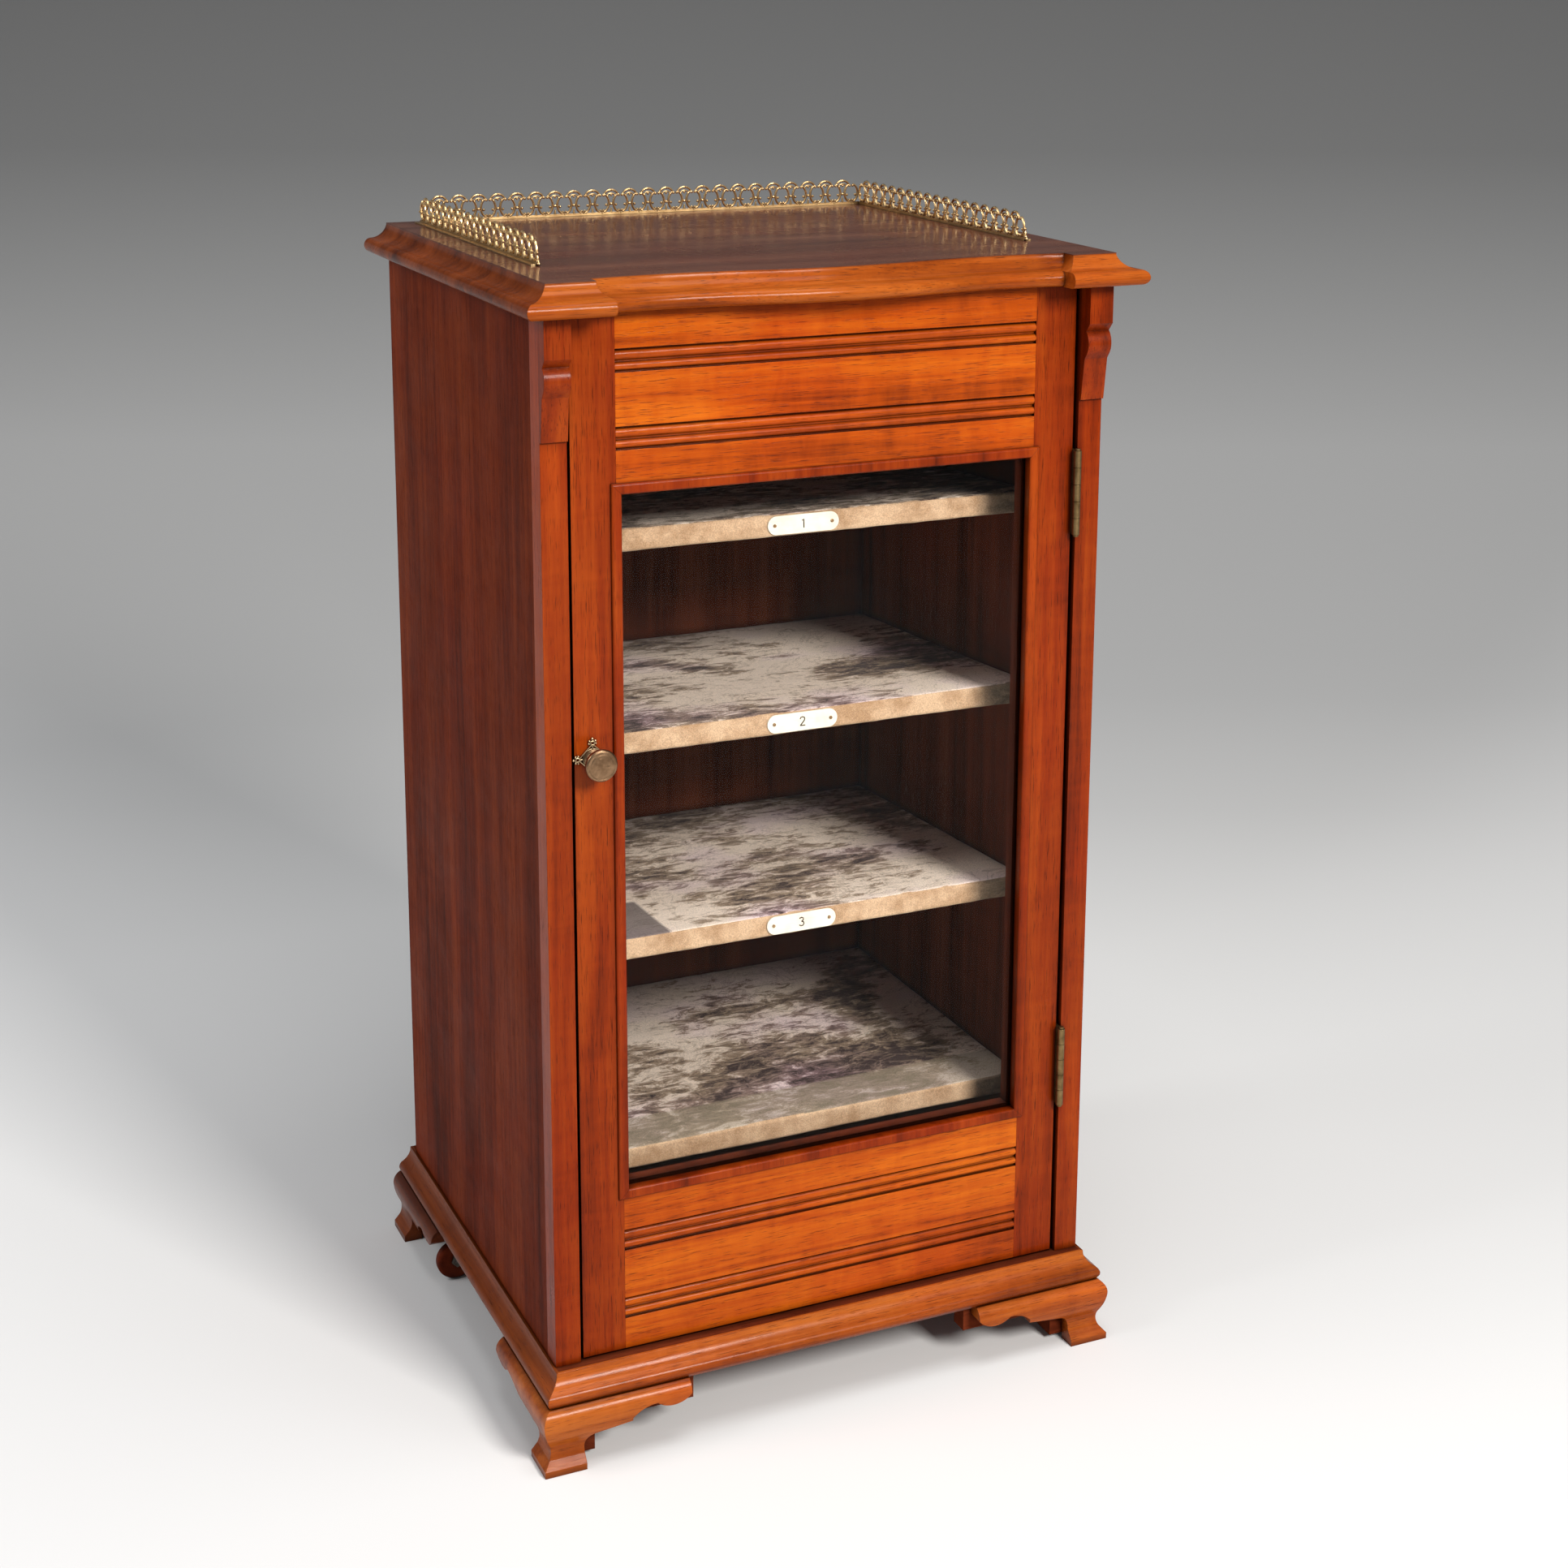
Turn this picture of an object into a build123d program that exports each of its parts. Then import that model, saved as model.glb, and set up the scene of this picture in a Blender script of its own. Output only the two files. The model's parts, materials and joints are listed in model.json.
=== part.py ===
from build123d import *
import os
from math import cos, radians, sin, sqrt

# A music cabinet: a moulded top with a pierced brass gallery, a glazed door, covered shelves that
# fall to the back, and ogee bracket feet with a caster inside each.
# Millimetres, +Z up, the front faces -Y. The origin is on the floor, in the middle of the whole.

# case
CASE_W = 522.0
CASE_D = 440.0
CASE_H = 926.0
SIDE_T = 22.0
POST_W = 23.0
POST_T = 22.0
LINING_T = 12.0
BACK_PANEL_T = 10.0
BACK_FRAME_T = 18.0
BACK_STILE_W = 60.0
BACK_RAIL_H = 64.0
STOP_RAIL_H = 20.0
STOP_RAIL_W = 42.0
# top board and its moulded edge
TOP_T = 27.0
TOP_FLAT_INSET = 0.5
TOP_EDGE = 22.0
TOP_NOSE_H = 13.5
TOP_LIP = 1.8
EAR_FRONT = 18.2
EAR_FLAT_W = 43.0
EAR_RETURN = 10.0
TOP_BACK_OVERHANG = 7.8
WAVE_R = 430.0
WAVE_RISE = 13.2
WAVE_SETBACK = 21.2
# base board, its moulding and the feet
BASE_T = 27.0
BASE_FRONT_STEP = 7.0
BASE_BACK_STEP = 12.0
MOULDING_OUT = 15.0
FOOT_H = 60.0
FOOT_OUT = 20.5
FOOT_BACK_STEP = 4.2
FOOT_THICK = 18.0
FOOT_LENGTH = 137.5
FOOT_LEG_W = 38.5
BACK_BRACKET_T = 16.0
FOOT_BLOCK = 34.0
FOOT_BLOCK_LIFT = 6.0
GLUE_STRIP_W = 18.0
GLUE_STRIP_H = 27.0
GLUE_STRIP_PAST = 8.0
# corbels under the top
CORBEL_OUT = 15.0
CORBEL_BLOCK_H = 35.0
CORBEL_ROLL_H = 20.0
CORBEL_NOTCH_H = 7.0
CORBEL_TAPER_H = 37.0
CORBEL_TAPER_TOP = 7.5
CORBEL_TAPER_FOOT = 3.0
# shelves, their covers and labels: the front top edge of each over the base, from the bottom up
SHELF_RISES = (159.0, 359.0, 548.5, 729.0)
SHELF_FALLS = (1.0, 3.7, 3.7, 3.7)
SHELF_SETBACK = 38.0
SHELF_T = 14.0
COVER_T = 3.0
COVER_UNDER = 60.0
GROOVE_DEEP = 6.0
LABEL_L = 68.0
LABEL_H = 16.6
LABEL_T = 1.3
LABEL_PIN_R = 1.5
LABEL_PIN_INSET = 6.5
LABEL_PIN_L = 9.0
# door
DOOR_T = 22.0
DOOR_SET = 3.0
DOOR_GAP = 3.5
DOOR_GAP_BOTTOM = 1.5
DOOR_GAP_TOP = 2.0
DOOR_STILE_W = 39.5
DOOR_RAIL_TOP_H = 146.5
DOOR_RAIL_BOTTOM_H = 149.0
REED_DEEP = 3.2
REED_UPPER = 8.9
REED_LOWER = 7.3
REED_QUIRK = 1.2
REEDS_TOP_RAIL = (30.0, 94.3)
REEDS_BOTTOM_RAIL = (35.1, 100.3)
BEAD_W = 9.4
BEAD_LAP = 5.2
BEAD_PROUD = 3.0
BEAD_INNER_DEEP = 6.0
GLASS_T = 3.0
PUTTY_W = 7.0
MITRE_GAP = 0.1
# hinges
HINGE_H = 76.2
HINGE_FROM_BOTTOM = 189.5
HINGE_FROM_TOP = 185.0
LEAF_T = 1.5
LEAF_DEEP = 21.0
KNUCKLE_R = 3.4
KNUCKLE_COUNT = 5
HINGE_PIN_R = 1.6
# knob and catch
KNOB_INSET = 15.7
KNOB_RISE = 549.5
KNOB_R = 14.0
KNOB_OUT = 24.0
SPINDLE_R = 4.0
KNOB_PLATE_T = 1.6
KNOB_PLATE_REACH = 13.8
CATCH_L = 26.0
CATCH_W = 10.0
CATCH_T = 3.0
# gallery
GALLERY_H = 25.4
GALLERY_T = 1.2
GALLERY_BASE_H = 3.2
GALLERY_BASE_T = 3.0
GALLERY_SIDE_INSET = 29.5
GALLERY_BACK_INSET = 12.5
GALLERY_BACK_COUNT = 24
GALLERY_SIDE_COUNT = 18
GALLERY_BAR = 1.9
GALLERY_BALL_R = 3.4
# casters
CASTER_SIDE_INSET = 23.0
CASTER_FRONT_INSET = 111.0
CASTER_BACK_INSET = 121.0
CASTER_TRAIL = 16.0
WHEEL_R = 19.0
WHEEL_W = 11.0
WHEEL_LIFT = 1.0
AXLE_R = 2.5
CASTER_PIN_R = 4.0
CASTER_PIN_L = 16.0
CASTER_PLATE = 34.0
CASTER_PLATE_T = 2.5
CHEEK_T = 2.2
HORN_DISC_R = 9.5
HORN_DISC_T = 4.0
# clearances
RUN_FIT = 0.06
GAP = 0.4
STOP_GAP = 0.5

# places worked out from the sizes
case_half = CASE_W / 2
front_reach = EAR_FRONT + TOP_EDGE
back_reach = BASE_BACK_STEP + FOOT_BACK_STEP
case_middle = (front_reach - back_reach) / 2
case_front = case_middle - CASE_D / 2
case_back = case_middle + CASE_D / 2
base_top = FOOT_H + BASE_T
case_top = base_top + CASE_H
top_z = case_top + TOP_T
side_in = case_half - SIDE_T
lining_in = side_in - LINING_T
post_in = case_half - POST_W
back_face = case_back - BACK_FRAME_T - BACK_PANEL_T
base_front = case_front - BASE_FRONT_STEP
base_back = case_back + BASE_BACK_STEP
door_face = case_front + DOOR_SET
door_back = door_face + DOOR_T
door_half = post_in - DOOR_GAP
door_bottom = base_top + DOOR_GAP_BOTTOM
door_top = case_top - DOOR_GAP_TOP
light_half = door_half - DOOR_STILE_W
light_top = door_top - DOOR_RAIL_TOP_H
light_bottom = door_bottom + DOOR_RAIL_BOTTOM_H
light_middle = (light_top + light_bottom) / 2
light_half_h = (light_top - light_bottom) / 2
lining_front = door_back + STOP_GAP
shelf_front = lining_front + SHELF_SETBACK
shelf_fronts = [base_top + rise for rise in SHELF_RISES]
cover_all = SHELF_T + 2 * COVER_T
hinge_x = (post_in + door_half) / 2
hinge_y = case_front - KNUCKLE_R - GAP
hinge_centres = (door_bottom + HINGE_FROM_BOTTOM, door_top - HINGE_FROM_TOP)
knob_x = -(door_half - KNOB_INSET)
knob_z = door_bottom + KNOB_RISE
catch_front = door_back + GAP
catch_back = catch_front + CATCH_T
slot_low = knob_z - CATCH_W
slot_high = knob_z + CATCH_L + GAP
caster_x = case_half - CASTER_SIDE_INSET
caster_ys = (base_front + CASTER_FRONT_INSET, base_back - CASTER_BACK_INSET)
gallery_half = case_half - TOP_FLAT_INSET - GALLERY_SIDE_INSET

os.makedirs("parts", exist_ok=True)


def save(piece, name):
    """Label a finished piece and write it under its own name."""
    piece.part.label = name
    export_step(piece.part, f"parts/{name}.step")


def slab(x0, x1, y0, y1, z0, z1, mode=Mode.ADD):
    """A square board between two corners, in whichever order they come."""
    with Locations(((x0 + x1) / 2, (y0 + y1) / 2, (z0 + z1) / 2)):
        Box(abs(x1 - x0), abs(y1 - y0), abs(z1 - z0), mode=mode)


def upright_section(y):
    """A sketch plane across the cabinet at y, seen from the front: x to the right, z up."""
    return Plane(origin=(0, y, 0), x_dir=(1, 0, 0), z_dir=(0, -1, 0))


def shelf_plane(index):
    """The top of a covered shelf, from its front edge: x across, y to the back, z out of it."""
    fall = radians(SHELF_FALLS[index])
    return Plane(
        origin=(0, shelf_front, shelf_fronts[index]),
        x_dir=(1, 0, 0),
        z_dir=(0, sin(fall), cos(fall)),
    )


def shelf_length(index):
    """Along the slope, from the front edge to just short of the back panel."""
    return (back_face - GAP - shelf_front) / cos(radians(SHELF_FALLS[index]))


# base board, under the case and between the mouldings
with BuildPart() as base_board:
    slab(-case_half, case_half, base_front, base_back, FOOT_H, base_top)
    for caster_y in caster_ys:
        with Locations((-caster_x, caster_y, FOOT_H), (caster_x, caster_y, FOOT_H)):
            Cylinder(
                CASTER_PIN_R + RUN_FIT,
                CASTER_PIN_L + GAP,
                align=(Align.CENTER, Align.CENTER, Align.MIN),
                mode=Mode.SUBTRACT,
            )
save(base_board, "base_board")

# sides, posts and linings
for name, s in (("left", -1), ("right", 1)):
    with BuildPart() as side_panel:
        slab(s * side_in, s * case_half, case_front + POST_T, case_back, base_top, case_top)
        if s < 0:
            slab(
                knob_x - CATCH_L - GAP,
                -side_in,
                catch_front - GAP,
                catch_back + GAP,
                slot_low,
                slot_high,
                mode=Mode.SUBTRACT,
            )
    save(side_panel, f"side_{name}")

    with BuildPart() as post:
        slab(s * post_in, s * case_half, case_front, case_front + POST_T, base_top, case_top)
    save(post, f"front_post_{name}")

    with BuildPart() as lining:
        slab(s * lining_in, s * side_in, lining_front, back_face, base_top, case_top)
        for index in range(len(shelf_fronts)):
            with BuildSketch(shelf_plane(index).offset(-COVER_T)) as groove:
                with Locations((s * (lining_in + GROOVE_DEEP / 2), COVER_T + CASE_D / 2)):
                    Rectangle(GROOVE_DEEP, CASE_D)
            extrude(amount=-SHELF_T, mode=Mode.SUBTRACT)
        if s < 0:
            slab(
                -side_in,
                -lining_in,
                lining_front,
                catch_back + GAP,
                slot_low,
                slot_high,
                mode=Mode.SUBTRACT,
            )
    save(lining, f"lining_{name}")

    with BuildPart() as back_stile:
        slab(
            s * side_in,
            s * (side_in - BACK_STILE_W),
            back_face + BACK_PANEL_T,
            case_back,
            base_top,
            case_top,
        )
    save(back_stile, f"back_stile_{name}")

with BuildPart() as back_panel:
    slab(-side_in, side_in, back_face, back_face + BACK_PANEL_T, base_top, case_top)
save(back_panel, "back_panel")

back_rail_half = side_in - BACK_STILE_W
for name, low in (("bottom", base_top), ("top", case_top - BACK_RAIL_H)):
    with BuildPart() as back_rail:
        slab(
            -back_rail_half,
            back_rail_half,
            back_face + BACK_PANEL_T,
            case_back,
            low,
            low + BACK_RAIL_H,
        )
    save(back_rail, f"back_rail_{name}")

with BuildPart() as stop_rail:
    slab(
        -lining_in,
        lining_in,
        lining_front,
        lining_front + STOP_RAIL_W,
        case_top - STOP_RAIL_H,
        case_top,
    )
save(stop_rail, "top_stop_rail")


# corbels: a block, a roll between two notches, and a tapered block
corbel_block = case_top - CORBEL_BLOCK_H
corbel_roll_top = corbel_block - CORBEL_NOTCH_H
corbel_roll_foot = corbel_roll_top - CORBEL_ROLL_H
corbel_taper_top = corbel_roll_foot - CORBEL_NOTCH_H * 0.7
corbel_foot = corbel_taper_top - CORBEL_TAPER_H
for name, s in (("left", -1), ("right", 1)):
    with BuildPart() as corbel:
        with BuildSketch(Plane.YZ.offset(min(s * post_in, s * case_half))) as corbel_side:
            with BuildLine():
                out = case_front - CORBEL_OUT
                notch = case_front - CORBEL_OUT * 0.6
                roll = case_front - CORBEL_OUT * 0.74
                taper = case_front - CORBEL_TAPER_TOP
                Polyline((case_front, case_top), (out, case_top), (out, corbel_block))
                Line((out, corbel_block), (notch, corbel_roll_top))
                ThreePointArc(
                    (notch, corbel_roll_top),
                    (case_front - CORBEL_OUT * 0.92, (corbel_roll_top + corbel_roll_foot) / 2),
                    (roll, corbel_roll_foot),
                )
                Polyline(
                    (roll, corbel_roll_foot),
                    (taper, corbel_taper_top),
                    (case_front - CORBEL_TAPER_FOOT, corbel_foot),
                    (case_front, corbel_foot),
                    (case_front, case_top),
                )
            make_face()
        extrude(amount=POST_W)
    save(corbel, f"corbel_{name}")


def trace_top_edge(flat, s, place):
    """The top's moulded edge in the open sketch line, from the flat to the underside.

    flat is where the flat ends and s the way out; place turns (out, depth) into a sketch point."""
    nose_r = TOP_NOSE_H / 2
    nose_in = TOP_EDGE - nose_r
    cove_end = nose_in - 0.6
    Line(place(flat, 0), place(flat, TOP_LIP))
    ThreePointArc(
        place(flat, TOP_LIP),
        place(flat + s * cove_end * 0.42, TOP_LIP + (TOP_T - TOP_NOSE_H - TOP_LIP) * 0.74),
        place(flat + s * cove_end, TOP_T - TOP_NOSE_H),
    )
    Line(place(flat + s * cove_end, TOP_T - TOP_NOSE_H), place(flat + s * nose_in, TOP_T - TOP_NOSE_H))
    ThreePointArc(
        place(flat + s * nose_in, TOP_T - TOP_NOSE_H),
        place(flat + s * TOP_EDGE, TOP_T - nose_r),
        place(flat + s * nose_in, TOP_T),
    )


flat_half = case_half - TOP_FLAT_INSET
ear_flat_y = case_front - EAR_FRONT
top_back = case_back + TOP_BACK_OVERHANG
nose_in = TOP_EDGE - TOP_NOSE_H / 2
ear_in_top = flat_half - EAR_FLAT_W
ear_in_foot = ear_in_top - EAR_RETURN
wave_half = 2 * sqrt(WAVE_RISE * WAVE_R - (WAVE_RISE / 2) ** 2)
wave_trough_y = ear_flat_y + WAVE_SETBACK
wave_crest_y = wave_trough_y - WAVE_RISE
wave_end_x = ear_in_top + 12
wave_band = 78.0
wave_cut_y = wave_trough_y + wave_band - WAVE_RISE - 6

with BuildPart() as top_board:
    # the board with mitred edges: a section across it, cut by a section from front to back
    with BuildSketch(upright_section(top_back)) as across:
        with BuildLine():
            Line((-flat_half, top_z), (flat_half, top_z))
            trace_top_edge(flat_half, 1, lambda u, d: (u, top_z - d))
            Line((flat_half + nose_in, case_top), (-flat_half - nose_in, case_top))
            trace_top_edge(-flat_half, -1, lambda u, d: (u, top_z - d))
        make_face()
    extrude(amount=top_back - ear_flat_y + 2 * TOP_EDGE)
    with BuildSketch(Plane.YZ.offset(-CASE_W)) as endwise:
        with BuildLine():
            Line((top_back, top_z), (ear_flat_y, top_z))
            trace_top_edge(ear_flat_y, -1, lambda u, d: (u, top_z - d))
            Polyline((ear_flat_y - nose_in, case_top), (top_back, case_top), (top_back, top_z))
        make_face()
    extrude(amount=2 * CASE_W, mode=Mode.INTERSECT)
    # between the ears the straight front comes off, down a hollow return
    with BuildSketch(upright_section(wave_cut_y)) as between:
        with BuildLine():
            Line((-ear_in_top, top_z + 1), (ear_in_top, top_z + 1))
            Line((ear_in_top, top_z + 1), (ear_in_top, top_z - TOP_LIP))
            ThreePointArc(
                (ear_in_top, top_z - TOP_LIP),
                (ear_in_top - EAR_RETURN * 0.35, top_z - TOP_LIP - (TOP_T - TOP_NOSE_H) * 0.55),
                (ear_in_foot, case_top + TOP_NOSE_H),
            )
            Polyline(
                (ear_in_foot, case_top + TOP_NOSE_H),
                (ear_in_foot, case_top - 1),
                (-ear_in_foot, case_top - 1),
                (-ear_in_foot, case_top + TOP_NOSE_H),
            )
            ThreePointArc(
                (-ear_in_foot, case_top + TOP_NOSE_H),
                (-ear_in_top + EAR_RETURN * 0.35, top_z - TOP_LIP - (TOP_T - TOP_NOSE_H) * 0.55),
                (-ear_in_top, top_z - TOP_LIP),
            )
            Line((-ear_in_top, top_z - TOP_LIP), (-ear_in_top, top_z + 1))
        make_face()
    extrude(amount=CASE_D, mode=Mode.SUBTRACT)
    # the waved front: the same edge, carried along two hollows and a swell
    end_drop = WAVE_R - sqrt(WAVE_R**2 - (wave_end_x - wave_half) ** 2)
    mid_x = wave_half / 2
    swell_y = wave_crest_y + WAVE_R - sqrt(WAVE_R**2 - mid_x**2)
    with BuildLine(Plane.XY.offset(top_z)) as wave:
        ThreePointArc(
            (-wave_end_x, wave_trough_y - end_drop),
            (-wave_half, wave_trough_y),
            (-mid_x, swell_y),
        )
        ThreePointArc((-mid_x, swell_y), (0, wave_crest_y), (mid_x, swell_y))
        ThreePointArc(
            (mid_x, swell_y),
            (wave_half, wave_trough_y),
            (wave_end_x, wave_trough_y - end_drop),
        )
    wave_start = wave.wire() @ 0
    wave_way = wave.wire() % 0
    wave_out = Vector(wave_way.Y, -wave_way.X, 0)
    with BuildSketch(Plane(origin=wave_start, x_dir=wave_out, z_dir=wave_way)) as wave_section:
        with BuildLine():
            trace_top_edge(0, 1, lambda u, d: (u, d))
            Polyline((nose_in, TOP_T), (-wave_band, TOP_T), (-wave_band, 0), (0, 0))
        make_face()
    sweep(path=wave.wire())
save(top_board, "top_board")


# plinth moulding, planted round the base board and mitred at its front corners
def trace_moulding(face, s):
    """The plinth moulding in the open sketch line, planted on face with s the way out."""
    fillet_x = face + s * MOULDING_OUT * 0.17
    cove_top = (fillet_x + s * 0.4, base_top - BASE_T * 0.155)
    cove_foot = (face + s * MOULDING_OUT * 0.82, base_top - BASE_T * 0.55)
    nose_foot = (face + s * MOULDING_OUT * 0.9, base_top - BASE_T * 0.91)
    Polyline((face, FOOT_H), (face, base_top), (fillet_x, base_top), cove_top)
    ThreePointArc(
        cove_top,
        (face + s * MOULDING_OUT * 0.44, base_top - BASE_T * 0.39),
        cove_foot,
    )
    ThreePointArc(
        cove_foot,
        (face + s * MOULDING_OUT, base_top - BASE_T * 0.74),
        nose_foot,
    )
    Polyline(nose_foot, (face + s * MOULDING_OUT * 0.78, FOOT_H), (face, FOOT_H))


def mitre_plane(s):
    """The upright plane through a front corner of the base board, at 45 degrees, facing the front."""
    return Plane(origin=(s * case_half, base_front, 0), x_dir=(0, 0, 1), z_dir=(-s, -1, 0))


with BuildPart() as front_moulding:
    with BuildSketch(Plane.YZ.offset(-CASE_W)):
        with BuildLine():
            trace_moulding(base_front, -1)
        make_face()
    extrude(amount=2 * CASE_W)
    split(bisect_by=mitre_plane(-1), keep=Keep.TOP)
    split(bisect_by=mitre_plane(1), keep=Keep.TOP)
save(front_moulding, "plinth_moulding_front")

for name, s in (("left", -1), ("right", 1)):
    with BuildPart() as side_moulding:
        with BuildSketch(upright_section(base_back)):
            with BuildLine():
                trace_moulding(s * case_half, s)
            make_face()
        extrude(amount=base_back - base_front + 2 * MOULDING_OUT)
        split(bisect_by=mitre_plane(s), keep=Keep.BOTTOM)
    save(side_moulding, f"plinth_moulding_{name}")


# bracket feet: an ogee section along each wing, cut to a scrolled outline
def trace_ogee(face, s):
    """The foot's ogee in the open sketch line, s the way out from the base board's face."""
    inner = face + s * (FOOT_OUT - FOOT_THICK)
    bulge = face + s * FOOT_OUT
    waist = face + s * FOOT_OUT * 0.62
    near_waist = face + s * FOOT_OUT * 0.72
    Polyline((inner, 0), (inner, FOOT_H), (face + s * FOOT_OUT * 0.66, FOOT_H))
    ThreePointArc(
        (face + s * FOOT_OUT * 0.66, FOOT_H),
        (face + s * FOOT_OUT * 0.94, FOOT_H * 0.9),
        (bulge, FOOT_H * 0.79),
    )
    ThreePointArc(
        (bulge, FOOT_H * 0.79),
        (face + s * FOOT_OUT * 0.92, FOOT_H * 0.64),
        (near_waist, FOOT_H * 0.47),
    )
    ThreePointArc(
        (near_waist, FOOT_H * 0.47),
        (waist, FOOT_H * 0.34),
        (near_waist, FOOT_H * 0.21),
    )
    Polyline((near_waist, FOOT_H * 0.21), (bulge, FOOT_H * 0.1), (bulge, 0), (inner, 0))


def trace_bracket(corner, s):
    """A wing's front view in the open sketch line: leg, quarter hollow, cusp, arch and lobe.

    corner is the outer end of the toe and s the way in along the wing."""
    def at(u, z):
        return (corner + s * u, z)

    leg = FOOT_LEG_W
    hollow = leg + FOOT_H * 0.16
    cusp = FOOT_LENGTH * 0.6
    Polyline(at(0, FOOT_H), at(0, 0), at(leg, 0), at(leg, FOOT_H * 0.3))
    ThreePointArc(
        at(leg, FOOT_H * 0.3),
        at(leg + FOOT_H * 0.047, FOOT_H * 0.42),
        at(hollow, FOOT_H * 0.49),
    )
    Polyline(at(hollow, FOOT_H * 0.49), at(cusp, FOOT_H * 0.57), at(cusp, FOOT_H * 0.62))
    ThreePointArc(
        at(cusp, FOOT_H * 0.62),
        at(FOOT_LENGTH * 0.675, FOOT_H * 0.75),
        at(FOOT_LENGTH * 0.765, FOOT_H * 0.785),
    )
    ThreePointArc(
        at(FOOT_LENGTH * 0.765, FOOT_H * 0.785),
        at(FOOT_LENGTH * 0.88, FOOT_H * 0.685),
        at(FOOT_LENGTH, FOOT_H * 0.82),
    )
    Polyline(at(FOOT_LENGTH, FOOT_H * 0.82), at(FOOT_LENGTH, FOOT_H), at(0, FOOT_H))


side_toe = case_half + FOOT_OUT
front_toe = base_front - FOOT_OUT
back_toe = base_back + FOOT_BACK_STEP
foot_in_x = side_toe - FOOT_THICK
foot_in_y = front_toe + FOOT_THICK


def front_wing(s):
    """The wing along the front of a front foot, mitred at the corner."""
    with BuildPart() as wing:
        with BuildSketch(Plane.YZ.offset(-CASE_W)):
            with BuildLine():
                trace_ogee(base_front, -1)
            make_face()
        extrude(amount=2 * CASE_W)
        with BuildSketch(upright_section(0)):
            with BuildLine():
                trace_bracket(s * side_toe, -s)
            make_face()
        extrude(amount=CASE_D, mode=Mode.INTERSECT)
        split(bisect_by=mitre_plane(s), keep=Keep.TOP)
    return wing.part


def side_wing(s, corner, way):
    """The wing along a side, from the toe at corner and on in the way given."""
    with BuildPart() as wing:
        with BuildSketch(upright_section(back_toe)):
            with BuildLine():
                trace_ogee(s * case_half, s)
            make_face()
        extrude(amount=back_toe - front_toe)
        with BuildSketch(Plane.YZ.offset(-CASE_W)):
            with BuildLine():
                trace_bracket(corner, way)
            make_face()
        extrude(amount=2 * CASE_W, mode=Mode.INTERSECT)
        if way > 0:
            split(bisect_by=mitre_plane(s), keep=Keep.BOTTOM)
    return wing.part


for name, s in (("left", -1), ("right", 1)):
    front_parts = (front_wing(s), side_wing(s, front_toe, 1))
    with BuildPart() as front_foot:
        add(front_parts[0])
        add(front_parts[1])
    save(front_foot, f"foot_front_{name}")

    back_side = side_wing(s, back_toe, -1)
    with BuildPart() as back_foot:
        with BuildSketch(upright_section(back_toe)):
            with BuildLine():
                trace_bracket(s * side_toe, -s)
            make_face()
            with Locations((s * side_toe, 0)):
                Rectangle(2 * (FOOT_THICK - 1), 3 * FOOT_H, mode=Mode.SUBTRACT)
        extrude(amount=BACK_BRACKET_T)
        add(back_side)
    save(back_foot, f"foot_back_{name}")

# glue blocks in the feet's corners, and a strip behind each front wing
with BuildPart() as foot_blocks:
    for s in (-1, 1):
        block_in = s * (foot_in_x - FOOT_BLOCK)
        strip_out = block_in - s * GAP
        slab(s * foot_in_x, block_in, foot_in_y, foot_in_y + FOOT_BLOCK, FOOT_BLOCK_LIFT, FOOT_H)
        inner_y = back_toe - BACK_BRACKET_T
        slab(s * foot_in_x, block_in, inner_y - FOOT_BLOCK, inner_y, FOOT_BLOCK_LIFT, FOOT_H)
        slab(
            strip_out,
            s * (side_toe - FOOT_LENGTH - GLUE_STRIP_PAST),
            foot_in_y,
            foot_in_y + GLUE_STRIP_W,
            FOOT_H - GLUE_STRIP_H,
            FOOT_H,
        )
save(foot_blocks, "foot_blocks")

# shelves, housed in the linings, and the cloth that wraps each one's top and front edge
label_planes = []
for index, fall in enumerate(SHELF_FALLS):
    number = len(shelf_fronts) - index
    length = shelf_length(index)
    top = shelf_plane(index)
    with BuildPart(top) as shelf:
        reach = lining_in + GROOVE_DEEP - GAP
        slab(-reach, reach, COVER_T, length, -COVER_T - SHELF_T, -COVER_T)
    save(shelf, f"shelf_{number}")

    with BuildPart(top) as cover:
        reach = lining_in - GAP
        slab(-reach, reach, 0, length, -cover_all, 0)
        slab(-reach, reach, COVER_T, length, -COVER_T - SHELF_T, -COVER_T, mode=Mode.SUBTRACT)
        slab(-reach, reach, COVER_UNDER, length, -cover_all, -COVER_T, mode=Mode.SUBTRACT)
    save(cover, f"shelf_cover_{number}")
    if index > 0:
        edge = top.from_local_coords((0, 0, -cover_all / 2))
        label_planes.append(Plane(origin=edge, x_dir=(1, 0, 0), z_dir=-top.y_dir))

with BuildPart() as shelf_labels:
    for plane in label_planes:
        with BuildSketch(plane):
            SlotOverall(LABEL_L, LABEL_H)
            with Locations((-LABEL_L / 2 + LABEL_PIN_INSET, 0), (LABEL_L / 2 - LABEL_PIN_INSET, 0)):
                Circle(LABEL_PIN_R * 0.6, mode=Mode.SUBTRACT)
        extrude(amount=LABEL_T)
save(shelf_labels, "shelf_labels")

with BuildPart() as label_pins:
    for plane in label_planes:
        pin_at = LABEL_L / 2 - LABEL_PIN_INSET
        with BuildSketch(plane.offset(LABEL_T)):
            with Locations((-pin_at, 0), (pin_at, 0)):
                Circle(LABEL_PIN_R)
        extrude(amount=LABEL_PIN_R * 0.5)
        with BuildSketch(plane.offset(LABEL_T)):
            with Locations((-pin_at, 0), (pin_at, 0)):
                Circle(LABEL_PIN_R * 0.6)
        extrude(amount=-LABEL_T)
save(label_pins, "label_pins")

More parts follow.
